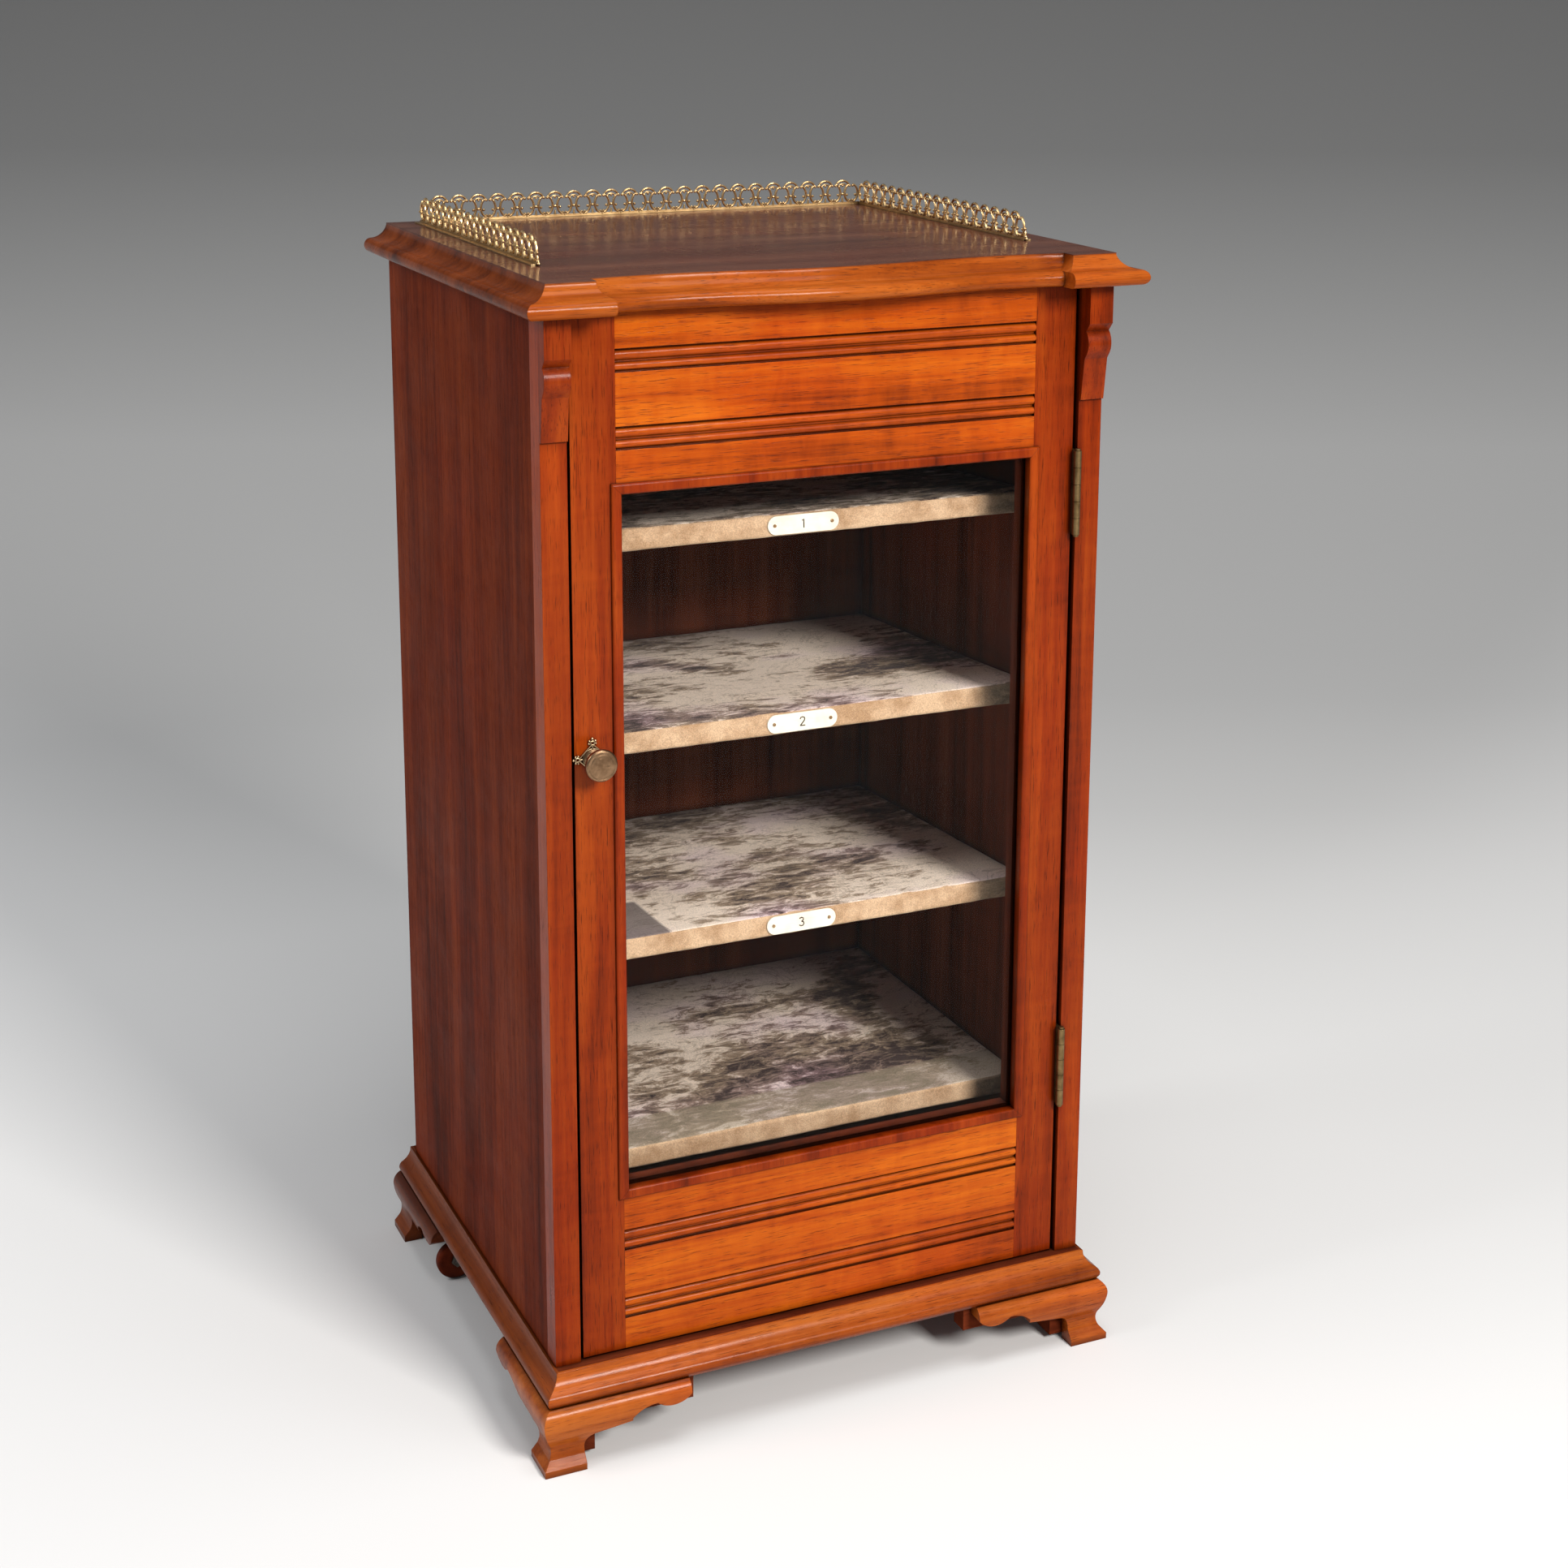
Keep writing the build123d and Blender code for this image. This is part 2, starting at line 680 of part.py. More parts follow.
# door frame
for name, s in (("left", -1), ("right", 1)):
    with BuildPart() as door_stile:
        slab(s * light_half, s * door_half, door_face, door_back, door_bottom, door_top)
        if s < 0:
            with Locations(Location((knob_x, door_face + DOOR_T / 2, knob_z), (90, 0, 0))):
                Cylinder(SPINDLE_R + RUN_FIT, 2 * DOOR_T, mode=Mode.SUBTRACT)
    save(door_stile, f"door_stile_{name}")


rails = (
    ("top", light_top, door_top, [door_top - drop for drop in REEDS_TOP_RAIL]),
    ("bottom", door_bottom, light_bottom, [light_bottom - drop for drop in REEDS_BOTTOM_RAIL]),
)
reed_band = REED_UPPER + REED_LOWER + 3 * REED_QUIRK
for name, low, high, reed_tops in rails:
    with BuildPart() as door_rail:
        slab(-light_half, light_half, door_face, door_back, low, high)
        # two reeds stand in each sunk band
        with BuildSketch(Plane.YZ.offset(-light_half)):
            for edge in reed_tops:
                with Locations((door_face + REED_DEEP / 2, edge - reed_band / 2)):
                    Rectangle(REED_DEEP, reed_band)
                with Locations((door_face + REED_UPPER / 2, edge - REED_QUIRK - REED_UPPER / 2)):
                    Circle(REED_UPPER / 2, mode=Mode.SUBTRACT)
                lower_middle = edge - reed_band + REED_QUIRK + REED_LOWER / 2
                with Locations((door_face + REED_LOWER / 2, lower_middle)):
                    Circle(REED_LOWER / 2, mode=Mode.SUBTRACT)
        extrude(amount=2 * light_half, mode=Mode.SUBTRACT)
    save(door_rail, f"door_rail_{name}")


def mitred_frame(half_w, half_h, width):
    """Four mitred strips round the light in the open sketch, from their outer half sizes."""
    cut = MITRE_GAP
    in_w = half_w - width
    in_h = half_h - width
    for s in (-1, 1):
        Polygon(
            (-half_w + cut, s * half_h),
            (half_w - cut, s * half_h),
            (in_w - cut, s * in_h),
            (-in_w + cut, s * in_h),
            align=None,
        )
        Polygon(
            (s * half_w, half_h - cut),
            (s * half_w, -half_h + cut),
            (s * in_w, -in_h + cut),
            (s * in_w, in_h - cut),
            align=None,
        )


def light_plane(y):
    """An upright sketch plane at y, with its origin at the middle of the door's light."""
    return Plane(origin=(0, y, light_middle), x_dir=(1, 0, 0), z_dir=(0, -1, 0))


# the moulding laps over the frame in front of the glass, the beads hold the glass from inside
with BuildPart() as glazing_moulding:
    with BuildSketch(light_plane(door_face)):
        mitred_frame(light_half + BEAD_LAP, light_half_h + BEAD_LAP, BEAD_W)
    extrude(amount=BEAD_PROUD)
    with BuildSketch(light_plane(door_face)):
        mitred_frame(light_half, light_half_h, BEAD_W - BEAD_LAP)
    extrude(amount=-BEAD_INNER_DEEP)
    front_edges = glazing_moulding.edges().group_by(Axis.Y)[0]
    along = front_edges.filter_by(Axis.X) + front_edges.filter_by(Axis.Z)
    fillet(along, BEAD_PROUD * 0.75)
save(glazing_moulding, "glazing_moulding")

glass_front = door_face + BEAD_INNER_DEEP
with BuildPart() as glass_pane:
    with BuildSketch(light_plane(glass_front)):
        Rectangle(2 * light_half - 2 * GAP, 2 * light_half_h - 2 * GAP)
    extrude(amount=-GLASS_T)
save(glass_pane, "glass_pane")

with BuildPart() as glazing_beads:
    with BuildSketch(light_plane(glass_front + GLASS_T)):
        mitred_frame(light_half, light_half_h, PUTTY_W)
    extrude(amount=-(DOOR_T - BEAD_INNER_DEEP - GLASS_T - 2))
save(glazing_beads, "glazing_beads")

# hinges: a leaf on the post, a leaf on the door, and their knuckles round one pin
knuckle_h = HINGE_H / KNUCKLE_COUNT
leaf_front = case_front


def hinge_leaf(s, knuckles, centre):
    """One leaf against the face that lies s of the hinge line, with the knuckles numbered."""
    face = hinge_x + s * DOOR_GAP / 2
    foot = centre - HINGE_H / 2
    slab(face - s * LEAF_T, face, leaf_front, leaf_front + LEAF_DEEP, foot, foot + HINGE_H)
    for knuckle in knuckles:
        low = foot + knuckle * knuckle_h + GAP / 2
        high = low + knuckle_h - GAP
        slab(face - s * LEAF_T, face, hinge_y, leaf_front, low, high)
        with Locations((hinge_x, hinge_y, low)):
            Cylinder(KNUCKLE_R, high - low, align=(Align.CENTER, Align.CENTER, Align.MIN))
    with Locations((hinge_x, hinge_y, centre)):
        Cylinder(HINGE_PIN_R + RUN_FIT, HINGE_H + 2 * GAP, mode=Mode.SUBTRACT)


with BuildPart() as hinge_leaves_post:
    for hinge_z in hinge_centres:
        hinge_leaf(1, (0, 2, 4), hinge_z)
save(hinge_leaves_post, "hinge_leaves_post")

with BuildPart() as hinge_leaves_door:
    for hinge_z in hinge_centres:
        hinge_leaf(-1, (1, 3), hinge_z)
save(hinge_leaves_door, "hinge_leaves_door")

with BuildPart() as hinge_pins:
    for hinge_z in hinge_centres:
        with Locations((hinge_x, hinge_y, hinge_z)):
            Cylinder(HINGE_PIN_R, HINGE_H)
        with Locations(
            (hinge_x, hinge_y, hinge_z + HINGE_H / 2 + 0.8),
            (hinge_x, hinge_y, hinge_z - HINGE_H / 2 - 0.8),
        ):
            Cylinder(HINGE_PIN_R * 1.5, 1.6)
save(hinge_pins, "hinge_pins")

# knob, its plate and the catch that it turns
plate_front = door_face - KNOB_PLATE_T
with BuildPart() as knob_plate:
    centre_plane = Plane(origin=(knob_x, door_face, knob_z), x_dir=(1, 0, 0), z_dir=(0, -1, 0))
    with BuildSketch(centre_plane):
        Circle(KNOB_PLATE_REACH * 0.62)
        with PolarLocations(KNOB_PLATE_REACH / 2, 4):
            Rectangle(KNOB_PLATE_REACH, 4.2)
        with PolarLocations(KNOB_PLATE_REACH, 4):
            with Locations((0, 2.7), (0, -2.7), (2.3, 0)):
                Circle(2.1)
        Circle(SPINDLE_R + RUN_FIT, mode=Mode.SUBTRACT)
    extrude(amount=KNOB_PLATE_T)
save(knob_plate, "knob_plate")

with BuildPart() as door_knob:
    knob_side = Plane(origin=(knob_x, plate_front - GAP, knob_z), x_dir=(1, 0, 0), z_dir=(0, 0, 1))
    with BuildSketch(knob_side):
        with BuildLine():
            Polyline((0, 0), (KNOB_R * 0.6, 0), (KNOB_R * 0.6, -KNOB_OUT * 0.08))
            ThreePointArc(
                (KNOB_R * 0.6, -KNOB_OUT * 0.08),
                (KNOB_R * 0.4, -KNOB_OUT * 0.28),
                (KNOB_R * 0.55, -KNOB_OUT * 0.55),
            )
            ThreePointArc(
                (KNOB_R * 0.55, -KNOB_OUT * 0.55),
                (KNOB_R * 0.88, -KNOB_OUT * 0.67),
                (KNOB_R, -KNOB_OUT * 0.84),
            )
            ThreePointArc(
                (KNOB_R, -KNOB_OUT * 0.84),
                (KNOB_R * 0.93, -KNOB_OUT * 0.93),
                (KNOB_R * 0.8, -KNOB_OUT * 0.95),
            )
            TangentArc((0, -KNOB_OUT), (KNOB_R * 0.8, -KNOB_OUT * 0.95), tangent=(1, 0))
            Line((0, -KNOB_OUT), (0, 0))
        make_face()
    revolve(axis=Axis((knob_x, 0, knob_z), (0, 1, 0)))
    with BuildSketch(upright_section(plate_front - GAP)):
        with Locations((knob_x, knob_z)):
            Circle(SPINDLE_R)
    extrude(amount=-(catch_back - plate_front + GAP))
save(door_knob, "door_knob")

with BuildPart() as door_catch:
    with BuildSketch(upright_section(catch_back)):
        with Locations((knob_x, knob_z)):
            Circle(CATCH_W * 0.75)
        with Locations((knob_x, knob_z + CATCH_L / 2 - CATCH_W / 4)):
            Rectangle(CATCH_W, CATCH_L - CATCH_W / 2)
        with Locations((knob_x, knob_z + CATCH_L - CATCH_W / 2)):
            Circle(CATCH_W / 2)
        with Locations((knob_x, knob_z)):
            Circle(SPINDLE_R, mode=Mode.SUBTRACT)
    extrude(amount=CATCH_T)
save(door_catch, "door_catch")


# gallery: rings along a base strip, with an arch over each gap
def pierced_strip(count, pitch):
    """The gallery's face in the open sketch, x along it from its middle, y up from the top board."""
    length = count * pitch
    bar = GALLERY_BAR
    ring_x = pitch * 0.37
    ring_y = (GALLERY_H - GALLERY_BASE_H) * 0.395
    ring_z = GALLERY_BASE_H + ring_y - bar * 0.35
    arch_r = pitch * 0.34
    arch_z = GALLERY_H - arch_r
    starts = [(index + 0.5) * pitch - length / 2 for index in range(count)]
    gaps = [index * pitch - length / 2 for index in range(1, count)]
    with Locations(*[(x, arch_z) for x in gaps]):
        Circle(arch_r)
        Circle(arch_r - bar, mode=Mode.SUBTRACT)
    with Locations((0, arch_z - arch_r)):
        Rectangle(length, 2 * arch_r - bar, mode=Mode.SUBTRACT)
    with Locations(*[(x, ring_z) for x in starts]):
        Ellipse(ring_x, ring_y)
    with Locations(*[(x, arch_z - bar * 1.2) for x in gaps]):
        Rectangle(2 * arch_r, bar * 1.6)
    with Locations(*[(x, arch_z - bar * 1.4) for x in gaps]):
        Circle(arch_r - bar * 1.3, mode=Mode.SUBTRACT)
    with Locations(*[(x, ring_z) for x in starts]):
        Ellipse(ring_x - bar, ring_y - bar, mode=Mode.SUBTRACT)
    with Locations(*[(x, ring_z - ring_y * 0.25) for x in gaps]):
        Circle(pitch * 0.16)
    with Locations((0, GALLERY_BASE_H / 2)):
        Rectangle(length, GALLERY_BASE_H)


gallery_back_y = top_back - GALLERY_BACK_INSET
back_pitch = 2 * gallery_half / GALLERY_BACK_COUNT
gallery_side_l = back_pitch * GALLERY_SIDE_COUNT
with BuildPart() as gallery_back:
    with BuildSketch(Plane(origin=(0, gallery_back_y, top_z), x_dir=(1, 0, 0), z_dir=(0, -1, 0))):
        pierced_strip(GALLERY_BACK_COUNT, back_pitch)
    extrude(amount=GALLERY_T)
    slab(
        -gallery_half,
        gallery_half,
        gallery_back_y,
        gallery_back_y - GALLERY_BASE_T,
        top_z,
        top_z + GALLERY_BASE_H,
    )
save(gallery_back, "gallery_back")

for name, s in (("left", -1), ("right", 1)):
    with BuildPart() as gallery_side:
        middle_y = gallery_back_y - gallery_side_l / 2
        face_x = s * (gallery_half + GAP / 2)
        with BuildSketch(Plane(origin=(face_x, middle_y, top_z), x_dir=(0, -1, 0), z_dir=(-1, 0, 0))):
            pierced_strip(GALLERY_SIDE_COUNT, back_pitch)
        extrude(amount=-s * GALLERY_T)
        front_y = gallery_back_y - gallery_side_l
        outer = face_x + s * GALLERY_BASE_T
        slab(face_x, outer, front_y, gallery_back_y, top_z, top_z + GALLERY_BASE_H)
        ball_x = face_x + s * GALLERY_BASE_T / 2
        with Locations((ball_x, front_y - GALLERY_BALL_R * 0.7, top_z + GALLERY_BALL_R)):
            Sphere(GALLERY_BALL_R)
    save(gallery_side, f"gallery_{name}")

# casters: a plate and a horn that swivels on its pin, with a wheel on an axle across it
plate_foot = FOOT_H - CASTER_PLATE_T
horn_top = plate_foot - GAP
wheel_z = WHEEL_LIFT + WHEEL_R
cheek_in = WHEEL_W / 2 + GAP
cheek_out = cheek_in + CHEEK_T
with BuildPart() as caster_plates:
    for caster_y in caster_ys:
        with BuildSketch(Plane.XY.offset(plate_foot)):
            with Locations((-caster_x, caster_y), (caster_x, caster_y)):
                RectangleRounded(CASTER_PLATE, CASTER_PLATE, 4)
                Circle(CASTER_PIN_R + RUN_FIT, mode=Mode.SUBTRACT)
        extrude(amount=CASTER_PLATE_T)
save(caster_plates, "caster_plates")

for end, caster_y in zip(("front", "back"), caster_ys):
    for name, s in (("left", -1), ("right", 1)):
        pin_x = s * caster_x
        trail = s if end == "back" else -s
        axle_x = pin_x + trail * CASTER_TRAIL
        with BuildPart() as horn:
            with BuildSketch(upright_section(caster_y + cheek_out)):
                with BuildLine():
                    neck = HORN_DISC_R * 0.95
                    Polyline(
                        (pin_x - trail * neck, horn_top),
                        (pin_x - trail * neck, horn_top - HORN_DISC_T),
                        (axle_x - trail * AXLE_R * 2.2, wheel_z - AXLE_R),
                        (axle_x, wheel_z - AXLE_R * 2.2),
                        (axle_x + trail * AXLE_R * 2.2, wheel_z),
                        (pin_x + trail * neck, horn_top - HORN_DISC_T),
                        (pin_x + trail * neck, horn_top),
                        close=True,
                    )
                make_face()
            extrude(amount=2 * cheek_out)
            slab(
                pin_x - CASTER_PLATE,
                pin_x + CASTER_PLATE,
                caster_y - cheek_in,
                caster_y + cheek_in,
                0,
                horn_top - HORN_DISC_T,
                mode=Mode.SUBTRACT,
            )
            with Locations((pin_x, caster_y, horn_top)):
                Cylinder(HORN_DISC_R, HORN_DISC_T, align=(Align.CENTER, Align.CENTER, Align.MAX))
                Cylinder(
                    CASTER_PIN_R,
                    CASTER_PIN_L + FOOT_H - horn_top,
                    align=(Align.CENTER, Align.CENTER, Align.MIN),
                )
            with Locations(Location((axle_x, caster_y, wheel_z), (90, 0, 0))):
                Cylinder(AXLE_R, 2 * cheek_out + 1.6)
        save(horn, f"caster_horn_{end}_{name}")

        with BuildPart() as wheel:
            with Locations(Location((axle_x, caster_y, wheel_z), (90, 0, 0))):
                Cylinder(WHEEL_R, WHEEL_W)
                fillet(wheel.edges().filter_by(GeomType.CIRCLE), WHEEL_W * 0.3)
                Cylinder(AXLE_R + RUN_FIT, 2 * WHEEL_W, mode=Mode.SUBTRACT)
        save(wheel, f"caster_wheel_{end}_{name}")
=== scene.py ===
import json
import math

import bmesh
import bpy
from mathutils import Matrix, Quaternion, Vector, noise

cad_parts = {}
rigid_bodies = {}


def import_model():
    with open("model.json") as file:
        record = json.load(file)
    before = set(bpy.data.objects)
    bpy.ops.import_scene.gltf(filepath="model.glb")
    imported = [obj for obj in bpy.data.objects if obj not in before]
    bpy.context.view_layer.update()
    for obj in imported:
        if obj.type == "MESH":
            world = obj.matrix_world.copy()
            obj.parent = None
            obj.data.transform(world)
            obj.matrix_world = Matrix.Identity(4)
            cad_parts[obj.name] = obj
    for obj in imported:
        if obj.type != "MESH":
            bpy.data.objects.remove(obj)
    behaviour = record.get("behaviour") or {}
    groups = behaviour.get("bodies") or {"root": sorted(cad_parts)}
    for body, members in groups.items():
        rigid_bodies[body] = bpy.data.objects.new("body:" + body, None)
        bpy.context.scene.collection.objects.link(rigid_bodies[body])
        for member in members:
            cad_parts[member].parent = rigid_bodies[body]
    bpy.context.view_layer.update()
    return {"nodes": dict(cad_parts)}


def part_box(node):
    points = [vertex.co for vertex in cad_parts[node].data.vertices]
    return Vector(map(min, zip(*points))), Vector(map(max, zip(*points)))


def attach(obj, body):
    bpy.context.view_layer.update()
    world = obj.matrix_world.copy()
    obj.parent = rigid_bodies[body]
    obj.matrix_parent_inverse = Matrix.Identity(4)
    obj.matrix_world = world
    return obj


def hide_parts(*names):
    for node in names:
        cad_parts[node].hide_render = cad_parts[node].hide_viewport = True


# A music cabinet in polished wood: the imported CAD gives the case, the door and the feet their
# shape. This script adds their finish, the crushed velvet on the shelves, the cast brass gallery,
# the knob and its pierced plate, and the numerals on the shelf labels. Metres, +Z up, front at -Y.

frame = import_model()
nodes = frame["nodes"]
MM = 0.001


# Material building


class Graph:
    """A material's node tree, with one short call for each kind of node used here."""

    def __init__(self, name):
        self.material = bpy.data.materials.new(name)
        self.material.use_nodes = True
        self.tree = self.material.node_tree
        self.tree.nodes.clear()
        self.output = self.tree.nodes.new("ShaderNodeOutputMaterial")

    def add(self, kind, inputs=None, **settings):
        """A node of a kind, with its settings, and its inputs linked or set by name or number."""
        node = self.tree.nodes.new("ShaderNode" + kind)
        for key, value in settings.items():
            setattr(node, key, value)
        for key, value in (inputs or {}).items():
            if isinstance(value, bpy.types.NodeSocket):
                self.tree.links.new(value, node.inputs[key])
            else:
                node.inputs[key].default_value = value
        return node

    def math(self, operation, *values, clamp=False):
        node = self.add("Math", dict(enumerate(values)), operation=operation, use_clamp=clamp)
        return node.outputs[0]

    def vector(self, operation, *values):
        node = self.add("VectorMath", dict(enumerate(values)), operation=operation)
        return node.outputs[0]

    def mix(self, factor, first, second, blend="MIX"):
        node = self.add("Mix", data_type="RGBA", blend_type=blend, clamp_factor=True)
        for socket, value in ((0, factor), (6, first), (7, second)):
            if isinstance(value, bpy.types.NodeSocket):
                self.tree.links.new(value, node.inputs[socket])
            else:
                node.inputs[socket].default_value = value if socket == 0 else (*value, 1)
        return node.outputs[2]

    def noise(self, vector, scale, detail=2.0, roughness=0.5, distortion=0.0):
        settings = {"Scale": scale, "Detail": detail, "Roughness": roughness, "Distortion": distortion}
        return self.add("TexNoise", {"Vector": vector, **settings}).outputs["Fac"]

    def ramp(self, factor, *stops):
        """A colour ramp through (place, colour) stops."""
        node = self.add("ValToRGB", {"Fac": factor})
        ramp = node.color_ramp
        while len(ramp.elements) < len(stops):
            ramp.elements.new(0.5)
        for element, (place, colour) in zip(ramp.elements, stops):
            element.position = place
            element.color = (*colour, 1)
        return node.outputs["Color"]

    def spread(self, value, low, high, new_low=0.0, new_high=1.0):
        """A value's range stretched to a new one, with its ends held."""
        node = self.add(
            "MapRange",
            {"Value": value, "From Min": low, "From Max": high, "To Min": new_low, "To Max": new_high},
            clamp=True,
        )
        return node.outputs[0]

    def bump(self, height, distance, strength=1.0, normal=None):
        inputs = {"Height": height, "Distance": distance, "Strength": strength}
        if normal is not None:
            inputs["Normal"] = normal
        return self.add("Bump", inputs).outputs[0]

    def surface(self, inputs, **settings):
        """The main shader, joined to the output."""
        shader = self.add("BsdfPrincipled", inputs, **settings)
        self.tree.links.new(shader.outputs[0], self.output.inputs["Surface"])
        return self.material


def corner_shade_and_grime(g, distance, low=0.0, high=1.0):
    """1 on an open surface and 0 in its corners and seams: a mask for painted shade there, and for grime in
    metal hollows.
    """
    shade = g.add("AmbientOcclusion", {"Distance": distance}, samples=8).outputs["AO"]
    return g.spread(shade, 0.25, 0.95, low, high)


def rounded(g, radius):
    """The surface's normal with its sharp edges eased."""
    return g.add("Bevel", {"Radius": radius}, samples=4).outputs[0]


def moved_by_board(g, place, step_x, step_y):
    """The place, moved by the piece's own board number, so that no two boards match."""
    board = g.add("Attribute", attribute_type="OBJECT", attribute_name="board").outputs["Fac"]
    shift = g.add("CombineXYZ", {0: g.math("MULTIPLY", board, step_x), 1: g.math("MULTIPLY", board, step_y)})
    return g.vector("ADD", place, shift.outputs[0])


# Wood

# where the dark, middle and light tones sit on the grain's scale
TONE_STOPS = (0.32, 0.48, 0.66)
WOOD_STEP = (1.7, 2.9)
WOOD_EDGE_R = 0.8 * MM
SEAM_SHADE_REACH = 9 * MM
# the rim's side part takes tones painted darker, as shade
# a moulded edge's own colours: how wide the change is at its mitre, and how far down it starts
MITRE_BLUR = 0.3 * MM
RIM_FADE = (1.2 * MM, 0.2 * MM)


def wood(
    name, grain, dark, middle, light, rough=0.33, coat=0.4, figure=0.5, coat_ior=1.2, ior=1.18, rim=None
):
    """Polished wood with its grain along one axis: bands, streaks, pores, mottled figure, and painted shade
    darkening its seams and corners.

    ior is the bare wood's and coat_ior the polish's. rim gives a height and the colours that the
    wood has below it, for a moulded edge of its own tone, its side part painted darker as shade."""
    g = Graph(name)
    place = moved_by_board(g, g.add("TexCoord").outputs["Object"], *WOOD_STEP)
    axis = "XYZ".index(grain)

    def stretched(along, across):
        """The place with its grain axis at one scale and the other two at another."""
        scale = [across] * 3
        scale[axis] = along
        return g.vector("MULTIPLY", place, tuple(scale))

    wander = g.add("TexNoise", {"Vector": stretched(2.2, 9.0), "Scale": 1.0, "Detail": 2.0})
    bent = g.vector("SUBTRACT", wander.outputs["Color"], (0.5, 0.5, 0.5))
    bands = g.noise(g.vector("ADD", stretched(1.6, 26.0), g.vector("SCALE", bent)), 1.0, 3.0, 0.55)
    streaks = g.noise(g.vector("ADD", stretched(4.0, 150.0), g.vector("SCALE", bent)), 1.0, 7.0, 0.68)
    pores = g.noise(stretched(60.0, 1500.0), 1.0, 2.0, 0.5)
    pores = g.spread(pores, 0.60, 0.70)
    mottle = g.noise(stretched(42.0, 14.0), 1.0, 4.0, 0.6, 0.6)
    clouds = g.noise(place, 5.0, 3.0, 0.6)

    tone = g.math("ADD", g.math("MULTIPLY", bands, 0.62), g.math("MULTIPLY", streaks, 0.38))
    tone = g.math("ADD", tone, g.math("MULTIPLY", g.math("SUBTRACT", mottle, 0.5), 0.30 * figure))
    colour = g.ramp(tone, *zip(TONE_STOPS, (dark, middle, light)))
    if rim:
        rim_height, front_tones, shaded_side_tones, flat_x, flat_y = rim
        true_place = g.add("SeparateXYZ", {0: g.add("TexCoord").outputs["Object"]})
        over_side = g.math("SUBTRACT", g.math("ABSOLUTE", true_place.outputs[0]), flat_x)
        over_front = g.math("SUBTRACT", flat_y, true_place.outputs[1])
        mitre = g.spread(g.math("SUBTRACT", over_side, over_front), -MITRE_BLUR, MITRE_BLUR)
        front_edge = g.ramp(tone, *zip(TONE_STOPS, front_tones))
        # the rim's side part takes the darker tones: painted shade
        edge_colour = g.mix(mitre, front_edge, g.ramp(tone, *zip(TONE_STOPS, shaded_side_tones)))
        lift = g.spread(true_place.outputs[2], rim_height - RIM_FADE[0], rim_height - RIM_FADE[1])
        colour = g.mix(lift, edge_colour, colour)
    pore_colour = tuple(0.42 * c for c in dark)
    seam_shade_colour = tuple(0.16 * c for c in dark)
    redder = (1.0, 0.62, 0.55)
    colour = g.mix(g.math("MULTIPLY", pores, 0.65), colour, pore_colour)
    colour = g.mix(g.spread(clouds, 0.48, 0.72, 0.0, 0.55), colour, redder, "MULTIPLY")
    # painted shade: the wood darkened almost to black in its seams and corners
    seam_shade = corner_shade_and_grime(g, SEAM_SHADE_REACH)
    colour = g.mix(g.spread(seam_shade, 0.0, 1.0, 0.95, 0.0), colour, seam_shade_colour)

    smear = g.noise(place, 11.0, 5.0, 0.62, 0.5)
    gloss = g.spread(smear, 0.3, 0.75, rough - 0.07, rough + 0.12)
    gloss = g.math("ADD", gloss, g.math("MULTIPLY", pores, 0.10))
    grain_height = g.math("SUBTRACT", g.math("MULTIPLY", streaks, 0.5), g.math("MULTIPLY", pores, 0.8))
    normal = g.bump(grain_height, 0.00022, 0.7, rounded(g, WOOD_EDGE_R))
    planed = g.noise(place, 16.0, 2.0, 0.4)
    normal = g.bump(planed, 0.0008, 0.4, normal)
    polish = g.bump(g.noise(place, 19.0, 3.0, 0.5), 0.0005, 0.5, rounded(g, WOOD_EDGE_R))
    return g.surface(
        {
            "Base Color": colour,
            "Roughness": gloss,
            "Normal": normal,
            "IOR": ior,
            "Specular IOR Level": 0.4,
            "Coat Weight": coat,
            "Coat IOR": coat_ior,
            "Coat Roughness": 0.13,
            "Coat Normal": polish,
        }
    )


# dark, middle and light tone of each kind of board; the side ones are painted darker, as shade
FRONT = ((0.105, 0.011, 0.0008), (0.36, 0.054, 0.0020), (0.54, 0.118, 0.005))
STILES = ((0.055, 0.006, 0.0007), (0.195, 0.021, 0.0010), (0.31, 0.048, 0.003))
EDGES = ((0.090, 0.012, 0.0015), (0.26, 0.052, 0.0050), (0.44, 0.115, 0.016))
EDGES_SIDE_SHADED = ((0.045, 0.007, 0.0015), (0.135, 0.026, 0.0045), (0.230, 0.050, 0.010))
SIDE_SHADED = ((0.045, 0.006, 0.0015), (0.110, 0.015, 0.0030), (0.180, 0.030, 0.006))
TOP = ((0.050, 0.016, 0.010), (0.085, 0.028, 0.017), (0.130, 0.047, 0.027))
INNER = ((0.030, 0.006, 0.0025), (0.100, 0.019, 0.007), (0.160, 0.034, 0.012))

TOP_EDGE = 22 * MM
top_low, top_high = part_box("top_board")
top_rim = (top_high.z, EDGES, EDGES_SIDE_SHADED, top_high.x - TOP_EDGE, top_low.y + TOP_EDGE)
rail_wood = wood("wood_rails", "X", *FRONT, coat=0.3, figure=0.6)
stile_wood = wood("wood_stiles", "Z", *STILES, coat=0.3)
# the sides' tones are painted darker, as shade
side_wood_shaded = wood("wood_sides_shaded", "Z", *SIDE_SHADED, rough=0.38, coat=0.04, ior=1.06)
top_wood = wood(
    "wood_top", "X", *TOP, rough=0.24, coat=0.35, figure=0.3, coat_ior=1.27, ior=1.08, rim=top_rim
)
edge_wood_x = wood("wood_mouldings_x", "X", *EDGES, rough=0.30, coat=0.5)
# side-facing mouldings in darker tones: painted shade
edge_wood_y_shaded = wood("wood_mouldings_y_shaded", "Y", *EDGES_SIDE_SHADED, rough=0.30, coat=0.3)
inner_wood = wood("wood_inside", "Z", *INNER, rough=0.5, coat=0.05, ior=1.06)
inner_wood_x = wood("wood_inside_x", "X", *INNER, rough=0.55, coat=0.0, ior=1.06)

